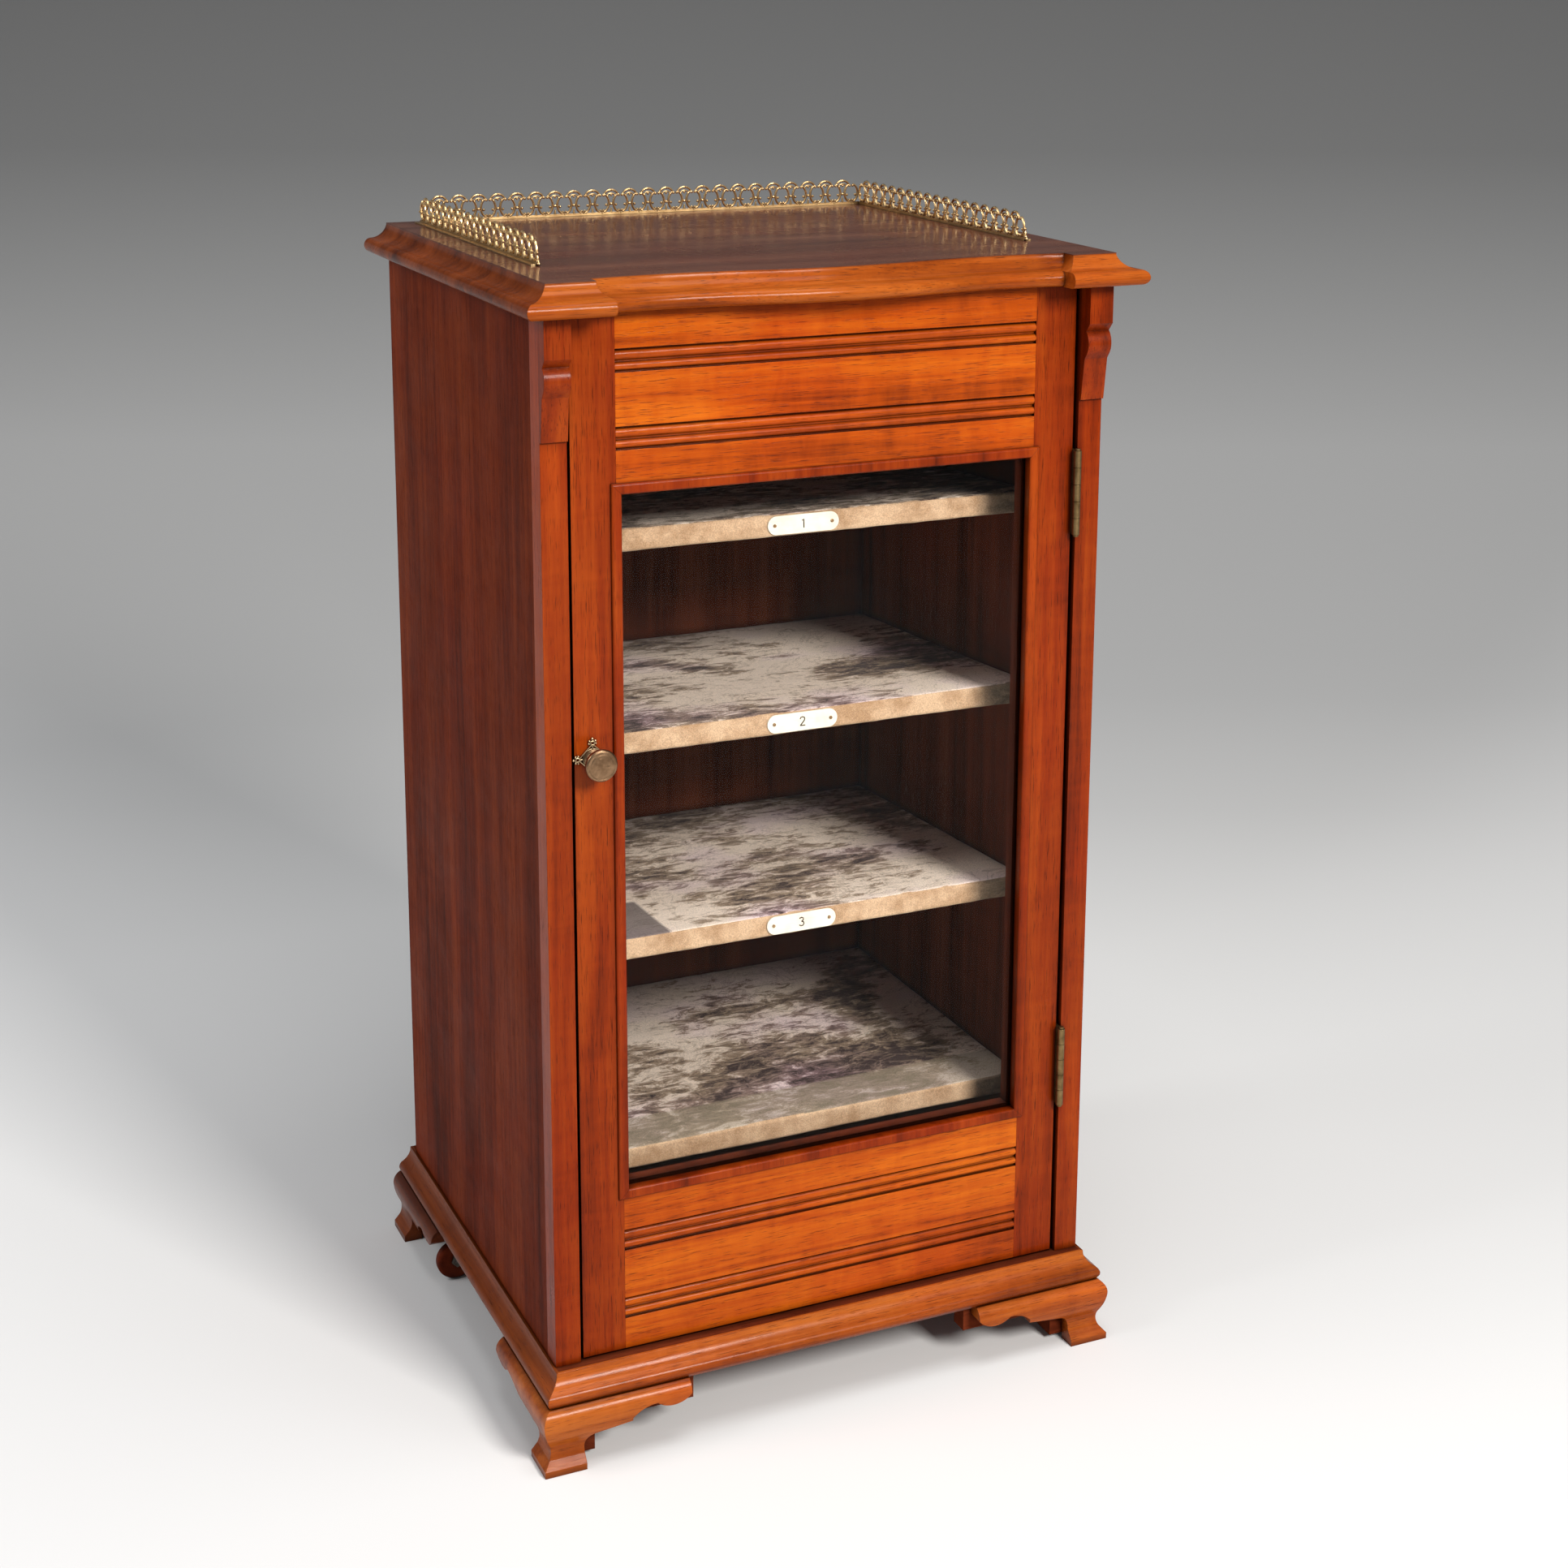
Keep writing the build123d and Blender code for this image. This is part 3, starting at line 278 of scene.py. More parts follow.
finish_of = {
    "door_rail_top": rail_wood,
    "door_rail_bottom": rail_wood,
    "top_board": top_wood,
    "plinth_moulding_front": edge_wood_x,
    "plinth_moulding_left": edge_wood_y_shaded,
    "plinth_moulding_right": edge_wood_y_shaded,
    "glazing_moulding": stile_wood,
    "glazing_beads": inner_wood,
    "side_left": side_wood_shaded,
    "side_right": side_wood_shaded,
    "lining_left": inner_wood,
    "lining_right": inner_wood,
    "back_panel": inner_wood,
    "back_stile_left": side_wood_shaded,
    "back_stile_right": side_wood_shaded,
}
for end in ("left", "right"):
    finish_of[f"front_post_{end}"] = stile_wood
    finish_of[f"door_stile_{end}"] = stile_wood
    finish_of[f"corbel_{end}"] = stile_wood
    finish_of[f"foot_front_{end}"] = edge_wood_x
    finish_of[f"foot_back_{end}"] = edge_wood_y_shaded
for name in ("base_board", "foot_blocks", "top_stop_rail", "back_rail_top", "back_rail_bottom"):
    finish_of[name] = inner_wood_x
for number in range(1, 5):
    finish_of[f"shelf_{number}"] = inner_wood_x


# Metals, glass and ivory


METAL_EDGE_R = 0.3 * MM
HOLLOW_REACH = 3 * MM
FINE_SCALE = 600.0


def metal(name, bright, worn, dirt, rough, scale=400.0):
    """Aged cast metal: a worn colour, brighter where it is handled, dark in its hollows."""
    g = Graph(name)
    place = g.add("TexCoord").outputs["Object"]
    patches = g.noise(place, scale * 0.2, 4.0, 0.6)
    grain = g.noise(place, scale * 3, 3.0, 0.6)
    colour = g.mix(g.spread(patches, 0.35, 0.65), worn, bright)
    open_face = corner_shade_and_grime(g, HOLLOW_REACH)
    colour = g.mix(g.spread(open_face, 0.0, 1.0, 0.9, 0.0), colour, dirt)
    gloss = g.spread(patches, 0.3, 0.7, rough + 0.12, rough - 0.05)
    gloss = g.math("ADD", gloss, g.spread(open_face, 0.0, 1.0, 0.3, 0.0))
    normal = g.bump(grain, 0.0001, 0.5, rounded(g, METAL_EDGE_R))
    return g.surface({"Base Color": colour, "Metallic": 1.0, "Roughness": gloss, "Normal": normal})


gallery_brass = metal("brass_gallery", (0.86, 0.60, 0.30), (0.52, 0.33, 0.15), (0.06, 0.03, 0.010), 0.26)
hinge_brass = metal("brass_hinges", (0.27, 0.18, 0.08), (0.12, 0.075, 0.03), (0.02, 0.012, 0.006), 0.42)
knob_bronze = metal(
    "bronze_knob", (0.30, 0.18, 0.10), (0.15, 0.085, 0.045), (0.03, 0.015, 0.008), 0.28, FINE_SCALE
)
plate_brass = metal(
    "brass_plate", (0.72, 0.55, 0.34), (0.45, 0.32, 0.18), (0.05, 0.03, 0.012), 0.28, FINE_SCALE
)
pin_brass = metal("brass_pins", (0.45, 0.28, 0.15), (0.25, 0.14, 0.07), (0.03, 0.015, 0.01), 0.35)
caster_iron = metal("iron_casters", (0.20, 0.18, 0.16), (0.10, 0.085, 0.07), (0.02, 0.015, 0.01), 0.45)


def ivory(name):
    """Aged ivory-coloured plate, a little yellower in patches."""
    g = Graph(name)
    place = g.add("TexCoord").outputs["Object"]
    patches = g.noise(place, 60.0, 4.0, 0.6)
    lines = g.noise(g.vector("MULTIPLY", place, (40.0, 900.0, 900.0)), 1.0, 2.0, 0.5)
    colour = g.mix(g.spread(patches, 0.35, 0.7), (0.90, 0.84, 0.72), (0.80, 0.71, 0.56))
    colour = g.mix(g.spread(lines, 0.5, 0.8, 0.0, 0.25), colour, (0.60, 0.48, 0.32))
    normal = g.bump(lines, 0.00008, 0.4, rounded(g, 0.0004))
    gloss = g.spread(patches, 0.3, 0.7, 0.28, 0.42)
    return g.surface({"Base Color": colour, "Roughness": gloss, "Normal": normal, "Coat Weight": 0.2})


def clear_glass(name):
    """Old window glass, slightly uneven and dusty, that lets light and shadow rays straight through."""
    g = Graph(name)
    place = g.add("TexCoord").outputs["Object"]
    waves = g.bump(g.noise(place, 6.0, 2.0, 0.4), 0.0003, 0.3)
    dust = g.spread(g.noise(place, 420.0, 3.0, 0.7), 0.74, 0.82, 0.0, 0.25)
    glass = g.add(
        "BsdfPrincipled",
        {
            "Base Color": (0.97, 0.985, 0.975, 1),
            "Roughness": dust,
            "Transmission Weight": 1.0,
            "IOR": 1.12,
            "Specular IOR Level": 0.3,
            "Normal": waves,
        },
    )
    clear = g.add("BsdfTransparent", {"Color": (0.985, 0.99, 0.985, 1)})
    path = g.add("LightPath")
    passing = g.math("MAXIMUM", path.outputs["Is Shadow Ray"], path.outputs["Is Diffuse Ray"])
    both = g.add("MixShader", {0: passing, 1: glass.outputs[0], 2: clear.outputs[0]})
    g.tree.links.new(both.outputs[0], g.output.inputs["Surface"])
    return g.material


numeral_ink = metal("ink_numerals", (0.06, 0.035, 0.025), (0.04, 0.022, 0.016), (0.02, 0.01, 0.008), 0.5)
label_ivory = ivory("ivory_labels")
door_glass = clear_glass("glass_door")
wheel_wood = wood("wood_wheels", "Y", *SIDE_SHADED, rough=0.5, coat=0.0)

finish_of["glass_pane"] = door_glass
finish_of["shelf_labels"] = label_ivory
finish_of["label_pins"] = pin_brass
finish_of["door_catch"] = hinge_brass
finish_of["caster_plates"] = caster_iron
for name in ("hinge_leaves_post", "hinge_leaves_door", "hinge_pins"):
    finish_of[name] = hinge_brass
for end in ("front_left", "front_right", "back_left", "back_right"):
    finish_of[f"caster_horn_{end}"] = caster_iron
    finish_of[f"caster_wheel_{end}"] = wheel_wood
for number, name in enumerate(sorted(finish_of)):
    node = nodes[name]
    node.data.materials.clear()
    node.data.materials.append(finish_of[name])
    node["board"] = float(number)


# Mesh building

# points nearer than this become one
WELD = 0.005 * MM
# ways that a wire never takes: for wires in the door's plane and for the gallery's uprights
Y_WAY = Vector((0, 1, 0))
SLANT_WAY = Vector((0.3, 0.5, 0))


class Shape:
    """Vertices and faces gathered for one piece."""

    def __init__(self):
        self.points = []
        self.faces = []

    def grid(self, rows, closed=False):
        """A skin over rows of points. closed joins the last column to the first."""
        start = len(self.points)
        across = len(rows[0])
        for row in rows:
            self.points.extend(tuple(p) for p in row)
        for i in range(len(rows) - 1):
            for j in range(across if closed else across - 1):
                a = start + i * across + j
                b = start + i * across + (j + 1) % across
                self.faces.append((a, b, b + across, a + across))

    def cap(self, ring, flip=False):
        """A flat face across a closed ring of points."""
        start = len(self.points)
        self.points.extend(tuple(p) for p in ring)
        face = tuple(range(start, start + len(ring)))
        self.faces.append(face[::-1] if flip else face)

    def tube(self, path, radius, sides=8, up=Vector((0, 0, 1))):
        """A round wire along a path, closed at both ends. radius may be a number or one per point.

        up is a way that the wire never takes."""
        count = len(path)
        radii = radius if hasattr(radius, "__len__") else [radius] * count
        rings = []
        side = None
        for i, point in enumerate(path):
            way = Vector(path[min(i + 1, count - 1)]) - Vector(path[max(i - 1, 0)])
            way.normalize()
            if side is None:
                side = way.cross(up)
                if side.length < 0.01:
                    side = way.cross(Vector((1, 0, 0)))
            side = (side - way * side.dot(way)).normalized()
            other = way.cross(side)
            turn = [2 * math.pi * k / sides for k in range(sides)]
            spokes = [side * math.cos(a) + other * math.sin(a) for a in turn]
            rings.append([Vector(point) + radii[i] * spoke for spoke in spokes])
        self.grid(rings, closed=True)
        self.cap(rings[0], flip=True)
        self.cap(rings[-1])

    def ball(self, centre, radius, rings=6, sides=10, squash=(1, 1, 1)):
        """A small ball, squashed along each axis by its own share."""
        rows = []
        pole = 0.02
        for i in range(rings + 1):
            tilt = math.pi * min(max(i, pole), rings - pole) / rings
            row = []
            for k in range(sides):
                turn = 2 * math.pi * k / sides
                x = squash[0] * radius * math.sin(tilt) * math.cos(turn)
                y = squash[1] * radius * math.sin(tilt) * math.sin(turn)
                z = -squash[2] * radius * math.cos(tilt)
                row.append(Vector(centre) + Vector((x, y, z)))
            rows.append(row)
        self.grid(rows, closed=True)
        self.cap(rows[0], flip=True)
        self.cap(rows[-1])

    def box(self, low, high):
        """A box between two corners."""
        x0, y0, z0 = low
        x1, y1, z1 = high
        ring = ((x0, y0), (x1, y0), (x1, y1), (x0, y1))
        self.grid([[(x, y, z) for x, y in ring] for z in (z0, z1)], closed=True)
        self.cap([(x, y, z0) for x, y in ring], flip=True)
        self.cap([(x, y, z1) for x, y in ring])

    def turned(self, profile, centre, toward, steps=64, wave=None, open_middle=False):
        """A turned form round an axis through centre. profile holds (radius, how far along) points.

        wave gives each point's extra height from its radius and angle. open_middle leaves a hole."""
        toward = Vector(toward)
        side = toward.orthogonal().normalized()
        other = toward.cross(side)
        rows = []
        for radius, along in profile:
            row = []
            for k in range(steps):
                angle = 2 * math.pi * k / steps
                lift = wave(radius, angle) if wave else 0.0
                spoke = side * math.cos(angle) + other * math.sin(angle)
                row.append(Vector(centre) + toward * (along + lift) + spoke * radius)
            rows.append(row)
        self.grid(rows, closed=True)
        if not open_middle:
            self.cap(rows[0], flip=True)
            self.cap(rows[-1])

    def piece(self, name, material, body, slot, *stands_for, smooth=35.0):
        """The finished object, on its body and in place of the CAD nodes named."""
        mesh = bpy.data.meshes.new(name)
        mesh.from_pydata(self.points, [], self.faces)
        joined = bmesh.new()
        joined.from_mesh(mesh)
        bmesh.ops.remove_doubles(joined, verts=joined.verts, dist=WELD)
        bmesh.ops.recalc_face_normals(joined, faces=joined.faces)
        joined.to_mesh(mesh)
        joined.free()
        mesh.shade_smooth()
        mesh.set_sharp_from_angle(angle=math.radians(smooth))
        mesh.materials.append(material)
        obj = bpy.data.objects.new(name, mesh)
        bpy.context.scene.collection.objects.link(obj)
        obj["board"] = float(len(bpy.data.objects))
        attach(obj, body)
        if stands_for:
            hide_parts(*stands_for)
        return obj


# Brass gallery


def arc(centre, radii, start, end, steps, place):
    """Points along an elliptical arc, in degrees, each turned into a real point by place."""
    points = []
    for k in range(steps + 1):
        angle = math.radians(start + (end - start) * k / steps)
        along = centre[0] + radii[0] * math.cos(angle)
        height = centre[1] + radii[1] * math.sin(angle)
        points.append(place(along, height))
    return points


# the gallery's wire and beads, its upright strip and the flat sole under it
WIRE = 1.2 * MM
BEAD = 1.45 * MM
STRIP_H = 2.6 * MM
STRIP_HALF_T = 0.6 * MM
SOLE_T = 1.1 * MM
# how far its middle plane lies inside the solid's face
FACE_INSET = 0.9 * MM
CREST_H = 5.8 * MM
INNER_CREST_H = 3.0 * MM
# the post at each open end: (height, radius), and the beads before it: (height, how far out)
END_POST = ((1.5, 1.5), (4.0, 1.35), (7.0, 1.3), (8.6, 0.7))
END_BEADS = ((3.4, 1.2), (1.7, 2.6))
GALLERY_COUNT = 24
SIDE_COUNT = 18


def gallery(count, length, high, place):
    """A cast gallery: pairs of facing scrolls with a bead at every tip, and a crest over each gap.

    place turns (along, height) into a real point on the gallery's middle plane."""
    shape = Shape()
    pitch = length / count
    oval_w = 0.355 * pitch
    oval_h = (high - STRIP_H) * 0.385
    middle = STRIP_H + oval_h + WIRE * 0.2
    for i in range(count):
        x = (i + 0.5) * pitch - length / 2
        for s in (-1, 1):
            centre = (x + s * oval_w * 0.12, middle)
            start, end = (-78, 78) if s > 0 else (258, 102)
            shape.tube(arc(centre, (oval_w * 0.94, oval_h), start, end, 14, place), WIRE, 6)
            for tip, lift in ((-0.86, 0.15), (0.86, -0.1)):
                bead = place(x + s * BEAD * 1.15, middle + oval_h * tip + lift * BEAD)
                shape.ball(bead, BEAD, 5, 8)
            shape.ball(place(x + s * oval_w * 0.66, middle - oval_h * 0.22), BEAD * 0.95, 5, 8)
            link = place(x + s * (pitch / 2 - 0.3 * MM), middle - oval_h * 0.12)
            shape.ball(link, BEAD * 0.95, 5, 8)
        stem = [place(x, STRIP_H * 0.5), place(x, middle - oval_h * 0.8)]
        shape.tube(stem, WIRE * 0.75, 6, up=SLANT_WAY)
    top = high - WIRE
    foot = top - CREST_H
    for i in range(1, count):
        x = i * pitch - length / 2
        shape.tube(arc((x, foot), (0.37 * pitch, CREST_H), 0, 180, 12, place), WIRE, 6)
        inner = arc((x, foot - 0.6 * MM), (0.21 * pitch, INNER_CREST_H), 0, 180, 8, place)
        shape.tube(inner, WIRE * 0.7, 6)
        shape.ball(place(x, top - 0.2 * MM), BEAD, 5, 8)
        shape.ball(place(x, foot + 0.7 * MM), BEAD * 0.9, 5, 8)
        waist = [place(x, STRIP_H), place(x, STRIP_H + oval_h * 0.5)]
        shape.tube(waist, [WIRE * 1.1, WIRE * 0.6], 6, up=SLANT_WAY)
    return shape


gallery_low, gallery_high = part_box("gallery_back")
high = gallery_high.z - gallery_low.z
width = gallery_high.x - gallery_low.x
back_y = gallery_high.y - FACE_INSET
back = gallery(GALLERY_COUNT, width, high, lambda u, v: Vector((u, back_y, gallery_low.z + v)))
back.box(gallery_low, (gallery_high.x, gallery_high.y, gallery_low.z + SOLE_T))
back.box(
    (gallery_low.x, back_y - STRIP_HALF_T, gallery_low.z),
    (gallery_high.x, back_y + STRIP_HALF_T, gallery_low.z + STRIP_H),
)
back.piece("cast_gallery_back", gallery_brass, "cabinet", "gallery_brass", "gallery_back")

length = width / GALLERY_COUNT * SIDE_COUNT
start = gallery_high.y
front = start - length
middle_y = start - length / 2
for side, s in (("left", -1), ("right", 1)):
    low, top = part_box(f"gallery_{side}")
    face = low.x + FACE_INSET if s > 0 else top.x - FACE_INSET
    outer = top.x if s > 0 else low.x
    run = gallery(SIDE_COUNT, length, high, lambda u, v: Vector((face, middle_y + u, low.z + v)))
    x0, x1 = sorted((face - s * FACE_INSET, outer))
    run.box((x0, front, low.z), (x1, start, low.z + SOLE_T))
    run.box((face - STRIP_HALF_T, front, low.z), (face + STRIP_HALF_T, start, low.z + STRIP_H))
    post = [Vector((face, front, low.z + height * MM)) for height, radius in END_POST]
    run.tube(post, [radius * MM for height, radius in END_POST], 10, up=SLANT_WAY)
    for height, out in END_BEADS:
        run.ball(Vector((face, front - out * MM, low.z + height * MM)), BEAD, 7, 12)
    run.piece(f"cast_gallery_{side}", gallery_brass, "cabinet", "gallery_brass", f"gallery_{side}")


# Crushed velvet on the shelves

VELVET_STEP = (1.3, 0.7)
DUST_AND_SHADE_REACH = 12 * MM
# where each marking starts and ends, in metres from the cabinet's middle
SHADE_SPAN = (0.12, 0.21)
FOLD_SPAN = (-0.090, -0.086)
PATCH_SPAN_X = (-0.127, -0.124)
PATCH_SPAN_Y = (-0.052, -0.047)
STAIN_SPAN_RIGHT = (0.165, 0.195)
STAIN_SPAN_LEFT = (-0.165, -0.19)


def velvet(name, front_fold, patch):
    """Faded velvet: pale nap, darker where it is crushed, a tan front band, stained at its ends.

    front_fold darkens a turned-over strip along the front, and patch adds a stitched square."""
    g = Graph(name)
    place = g.add("TexCoord").outputs["Object"]
    moved = moved_by_board(g, place, *VELVET_STEP)
    band = g.add("Attribute", attribute_name="band").outputs["Fac"]
    parts = g.add("SeparateXYZ", {0: place})
    across, back = parts.outputs[0], parts.outputs[1]

    fields = g.noise(moved, 5.5, 4.0, 0.55, 0.6)
    crush = g.noise(g.vector("MULTIPLY", moved, (34.0, 78.0, 78.0)), 1.0, 10.0, 0.78, 0.6)
    swirl = g.noise(moved, 9.0, 6.0, 0.62, 3.2)
    nap = g.noise(moved, 900.0, 2.0, 0.6)
    mauve = g.spread(g.noise(moved, 7.0, 3.0, 0.5), 0.50, 0.66)
    pale = g.mix(mauve, (0.92, 0.76, 0.64), (0.90, 0.71, 0.72))
    dirty = g.mix(mauve, (0.37, 0.26, 0.18), (0.31, 0.19, 0.20))
    deep = (0.060, 0.036, 0.034)
    worn = g.math("ADD", g.math("MULTIPLY", fields, 0.5), g.math("MULTIPLY", crush, 0.5))
    colour = g.mix(g.spread(worn, 0.49, 0.525), pale, dirty)
    colour = g.mix(g.spread(worn, 0.53, 0.58), colour, deep)
    lines = g.math("ABSOLUTE", g.math("SUBTRACT", swirl, 0.5))
    colour = g.mix(g.spread(lines, 0.0, 0.014, 0.55, 0.0), colour, dirty)
    in_shade = g.spread(back, *SHADE_SPAN, 0.0, 0.45)
    colour = g.mix(in_shade, colour, deep)
    if front_fold:
        fold = g.spread(back, *FOLD_SPAN, 0.62, 0.0)
        colour = g.mix(fold, colour, (0.36, 0.29, 0.20))
    if patch:
        inside_x = g.spread(across, *PATCH_SPAN_X, 1.0, 0.0)
        inside_y = g.spread(back, *PATCH_SPAN_Y, 1.0, 0.0)
        inside = g.math("MULTIPLY", inside_x, inside_y)
        colour = g.mix(g.math("MULTIPLY", inside, 0.8), colour, (0.075, 0.050, 0.058))
    blotches = g.spread(g.noise(moved, 30.0, 5.0, 0.65), 0.42, 0.62)
    tan = g.mix(blotches, (0.62, 0.41, 0.26), (0.42, 0.25, 0.14))
    stain = g.spread(across, *STAIN_SPAN_RIGHT)
    stain = g.math("MAXIMUM", stain, g.spread(across, *STAIN_SPAN_LEFT))
    stain = g.math("MULTIPLY", stain, g.spread(crush, 0.35, 0.6, 0.4, 1.0))
    tan = g.mix(stain, tan, (0.17, 0.125, 0.085))
    colour = g.mix(g.spread(band, 0.35, 0.75), colour, tan)
    speck = g.spread(nap, 0.3, 0.7, 0.72, 1.18)
    speckled = g.add("CombineXYZ", {0: speck, 1: speck, 2: speck}).outputs[0]
    colour = g.mix(1.0, colour, speckled, "MULTIPLY")
    # painted shade with dust: the cloth darkened almost to black near the walls and the parts round it
    dust = g.spread(corner_shade_and_grime(g, DUST_AND_SHADE_REACH), 0.0, 1.0, 0.55, 0.0)
    colour = g.mix(dust, colour, (0.05, 0.035, 0.03))
    height = g.math("ADD", g.math("MULTIPLY", crush, 0.9), g.math("MULTIPLY", nap, 0.5))
    return g.surface(
        {
            "Base Color": colour,
            "Roughness": 0.95,
            "Normal": g.bump(height, 0.0006, 0.7),
            "Sheen Weight": 0.05,
            "Sheen Roughness": 0.5,
            "Specular IOR Level": 0.1,
        }
    )


# the cloth as the solids have it: over the shelf, down its front edge and back under it
CLOTH_T = 2.9 * MM
COVER_FRONT = 20.0 * MM
COVER_LIP = 60.0 * MM
CLOTH_SHORT = 1.0 * MM
CLOTH_NARROW = 0.3 * MM
FOLD_R = 3.2 * MM
# how many degrees each shelf falls toward the back
SHELF_FALLS = {1: 3.7, 2: 3.7, 3: 3.7, 4: 1.0}
# how finely the cloth is divided: across, over the top, down the front, under it and round a fold
COLUMNS = 130
TOP_ROWS = 74
FACE_ROWS = 5
LIP_ROWS = 8
FOLD_ROWS = 6
# slack that the cloth may show, and where on its profile it does
MOST_LIFT = 0.9 * MM
FRONT_ZONE = 10 * MM
# the tan front band takes in this much of the top, and all below this depth
BAND_TOP = 1.5 * MM
BAND_DROP = 4.5 * MM
VELVET_BOARD = 2.37


def cover_profile(length):
    """(how far back, how far up) points round the cloth, from its underside edge to the back."""
    points = [(COVER_LIP * (1 - k / LIP_ROWS), -COVER_FRONT) for k in range(LIP_ROWS)]
    fold = [math.radians(90 * k / FOLD_ROWS) for k in range(FOLD_ROWS + 1)]
    for angle in fold:
        points.append((FOLD_R * (1 - math.sin(angle)), -COVER_FRONT + FOLD_R * (1 - math.cos(angle))))
    flat_face = COVER_FRONT - 2 * FOLD_R
    points.extend((0.0, -COVER_FRONT + FOLD_R + flat_face * k / FACE_ROWS) for k in range(1, FACE_ROWS))
    for angle in fold:
        points.append((FOLD_R * (1 - math.cos(angle)), -FOLD_R * (1 - math.sin(angle))))
    points.extend((FOLD_R + (length - FOLD_R) * k / TOP_ROWS, 0.0) for k in range(1, TOP_ROWS + 1))
    return points


def cloth_lift(number, x, back, half):
    """How far the cloth stands off its board: slack, ripples, and crumples near its front corners."""
    at = Vector((x * 14, back * 14, number * 5.1))
    lift = 0.5 * MM * noise.noise(at) + 0.35 * MM * noise.noise(at * 4.3)
    corner_width = 0.022
    corner_depth = 0.05
    end = max(0.0, 1 - (half - abs(x)) / corner_width) * max(0.0, 1 - back / corner_depth)
    lift += end * 1.2 * MM * (0.5 + noise.noise(at * 9.0))
    if number == 4:
        # the ridge where this shelf's cloth was turned over along its front
        ridge_at = 0.057
        ridge_width = 0.0016
        lift += 0.7 * MM * math.exp(-(((back - ridge_at) / ridge_width) ** 2))
    return lift


# the numerals' strokes, as (across, up) points
STROKES = {
    1: [[(-1.0, 2.0), (0.2, 3.0), (0.2, -3.0)]],
    2: [
        [(-1.8, 1.5), (-1.3, 2.6), (0.0, 3.0), (1.4, 2.5), (1.7, 1.3), (1.0, 0.0), (-1.8, -3.0)],
        [(-1.8, -3.0), (1.9, -3.0)],
    ],
    3: [
        [(-1.6, 2.4), (0.0, 3.0), (1.4, 2.4), (1.4, 1.0), (0.0, 0.2)],
        [(0.0, 0.2), (1.6, -0.6), (1.8, -1.9), (0.8, -2.9), (-0.6, -3.0), (-1.8, -2.2)],
    ],
}
STROKE_R = 0.55 * MM
NUMERAL_UNIT = 1.3 * MM
LABEL_FACE = 1.3 * MM


def numeral(number, middle, out):
    """The numeral on a label, in place of the word in the photograph. out is its way up."""
    sign = Shape()
    for stroke in STROKES[number]:
        path = [middle + Vector((u * NUMERAL_UNIT, 0, 0)) + out * (v * NUMERAL_UNIT) for u, v in stroke]
        sign.tube(path, STROKE_R, 8, up=Y_WAY)
    sign.piece(f"numeral_{number}", numeral_ink, "cabinet", "pin_brass")


for number, fall_degrees in SHELF_FALLS.items():
    low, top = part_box(f"shelf_cover_{number}")
    fall = math.radians(fall_degrees)
    into = Vector((0, math.cos(fall), -math.sin(fall)))
    out = Vector((0, math.sin(fall), math.cos(fall)))
    corner = Vector((0, low.y + COVER_FRONT * math.sin(fall), top.z))
    length = (top.y - corner.y) / math.cos(fall) - CLOTH_SHORT
    half = (top.x - low.x) / 2 - CLOTH_NARROW
    profile = cover_profile(length)
    cloth = Shape()
    rings = []
    for j in range(COLUMNS + 1):
        x = -half + 2 * half * j / COLUMNS
        outer = []
        inner = []
        for k, (deep, up) in enumerate(profile):
            before = profile[max(k - 1, 0)]
            after = profile[min(k + 1, len(profile) - 1)]
            way = Vector((after[0] - before[0], after[1] - before[1])).normalized()
            off = Vector((-way.y, way.x))
            lift = cloth_lift(number, x, deep if up > -FRONT_ZONE else 0.0, half)
            place = Vector((deep, up)) + off * min(lift, MOST_LIFT)
            outer.append(Vector((x, 0, 0)) + corner + into * place.x + out * place.y)
            under = Vector((deep, up)) - off * CLOTH_T
            inner.append(Vector((x, 0, 0)) + corner + into * under.x + out * under.y)
        rings.append((outer, inner))
    cloth.grid([ring[0] + ring[1][::-1] for ring in rings], closed=True)
    cloth.grid(list(rings[0]))
    cloth.grid(list(rings[-1]))
    finish = velvet(f"velvet_{number}", number == 4, number == 3)
    skin = cloth.piece(f"cloth_{number}", finish, "cabinet", "velvet", f"shelf_cover_{number}", smooth=60)
    strip = skin.data.attributes.new("band", "FLOAT", "POINT")
    for vertex, value in zip(skin.data.vertices, strip.data):
        depth = (vertex.co - corner).dot(into)
        rise = (vertex.co - corner).dot(out)
        value.value = 1.0 if depth < BAND_TOP or rise < -BAND_DROP else 0.0
    skin["board"] = float(number) * VELVET_BOARD
    if number in STROKES:
        numeral(number, corner - out * COVER_FRONT / 2 - into * LABEL_FACE, out)


# Knob and its pierced plate

knob_low, knob_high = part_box("door_knob")
knob_x = (knob_low.x + knob_high.x) / 2
knob_z = (knob_low.z + knob_high.z) / 2
knob_back = knob_high.y
plate_low, plate_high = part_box("knob_plate")
plate_t = plate_high.y - plate_low.y
HEAD_GAP = 0.4 * MM
head_foot = plate_low.y - HEAD_GAP
spindle_l = knob_back - head_foot
# (radius, how far out) in mm, from the spindle's inner end to the middle of the face
KNOB_PROFILE = (
    (0.05, -spindle_l / MM),
    (4.0, -spindle_l / MM),
    (4.0, 0.0),
    (8.4, 0.0),
    (8.4, 1.6),
    (7.0, 2.6),
    (5.9, 4.6),
    (5.6, 7.0),
    (6.0, 10.2),
    (7.4, 13.0),
    (9.8, 14.8),
    (12.3, 16.1),
    (13.7, 18.2),
    (14.0, 20.2),
    (13.7, 21.6),
    (12.9, 22.5),
    (11.9, 22.8),
    (11.2, 22.6),
    (10.6, 22.5),
    (9.6, 22.7),
    (8.2, 23.0),
    (6.6, 23.3),
    (5.0, 23.5),
    (3.4, 23.65),
    (1.8, 23.7),
    (0.05, 23.7),
)


FLOWER_R = 10.4
FLOWER_H = 0.16 * MM
PETALS = 6
OUTWARD = (0, -1, 0)
KNOB_PARTS = 4
KNOB_STEPS = 96


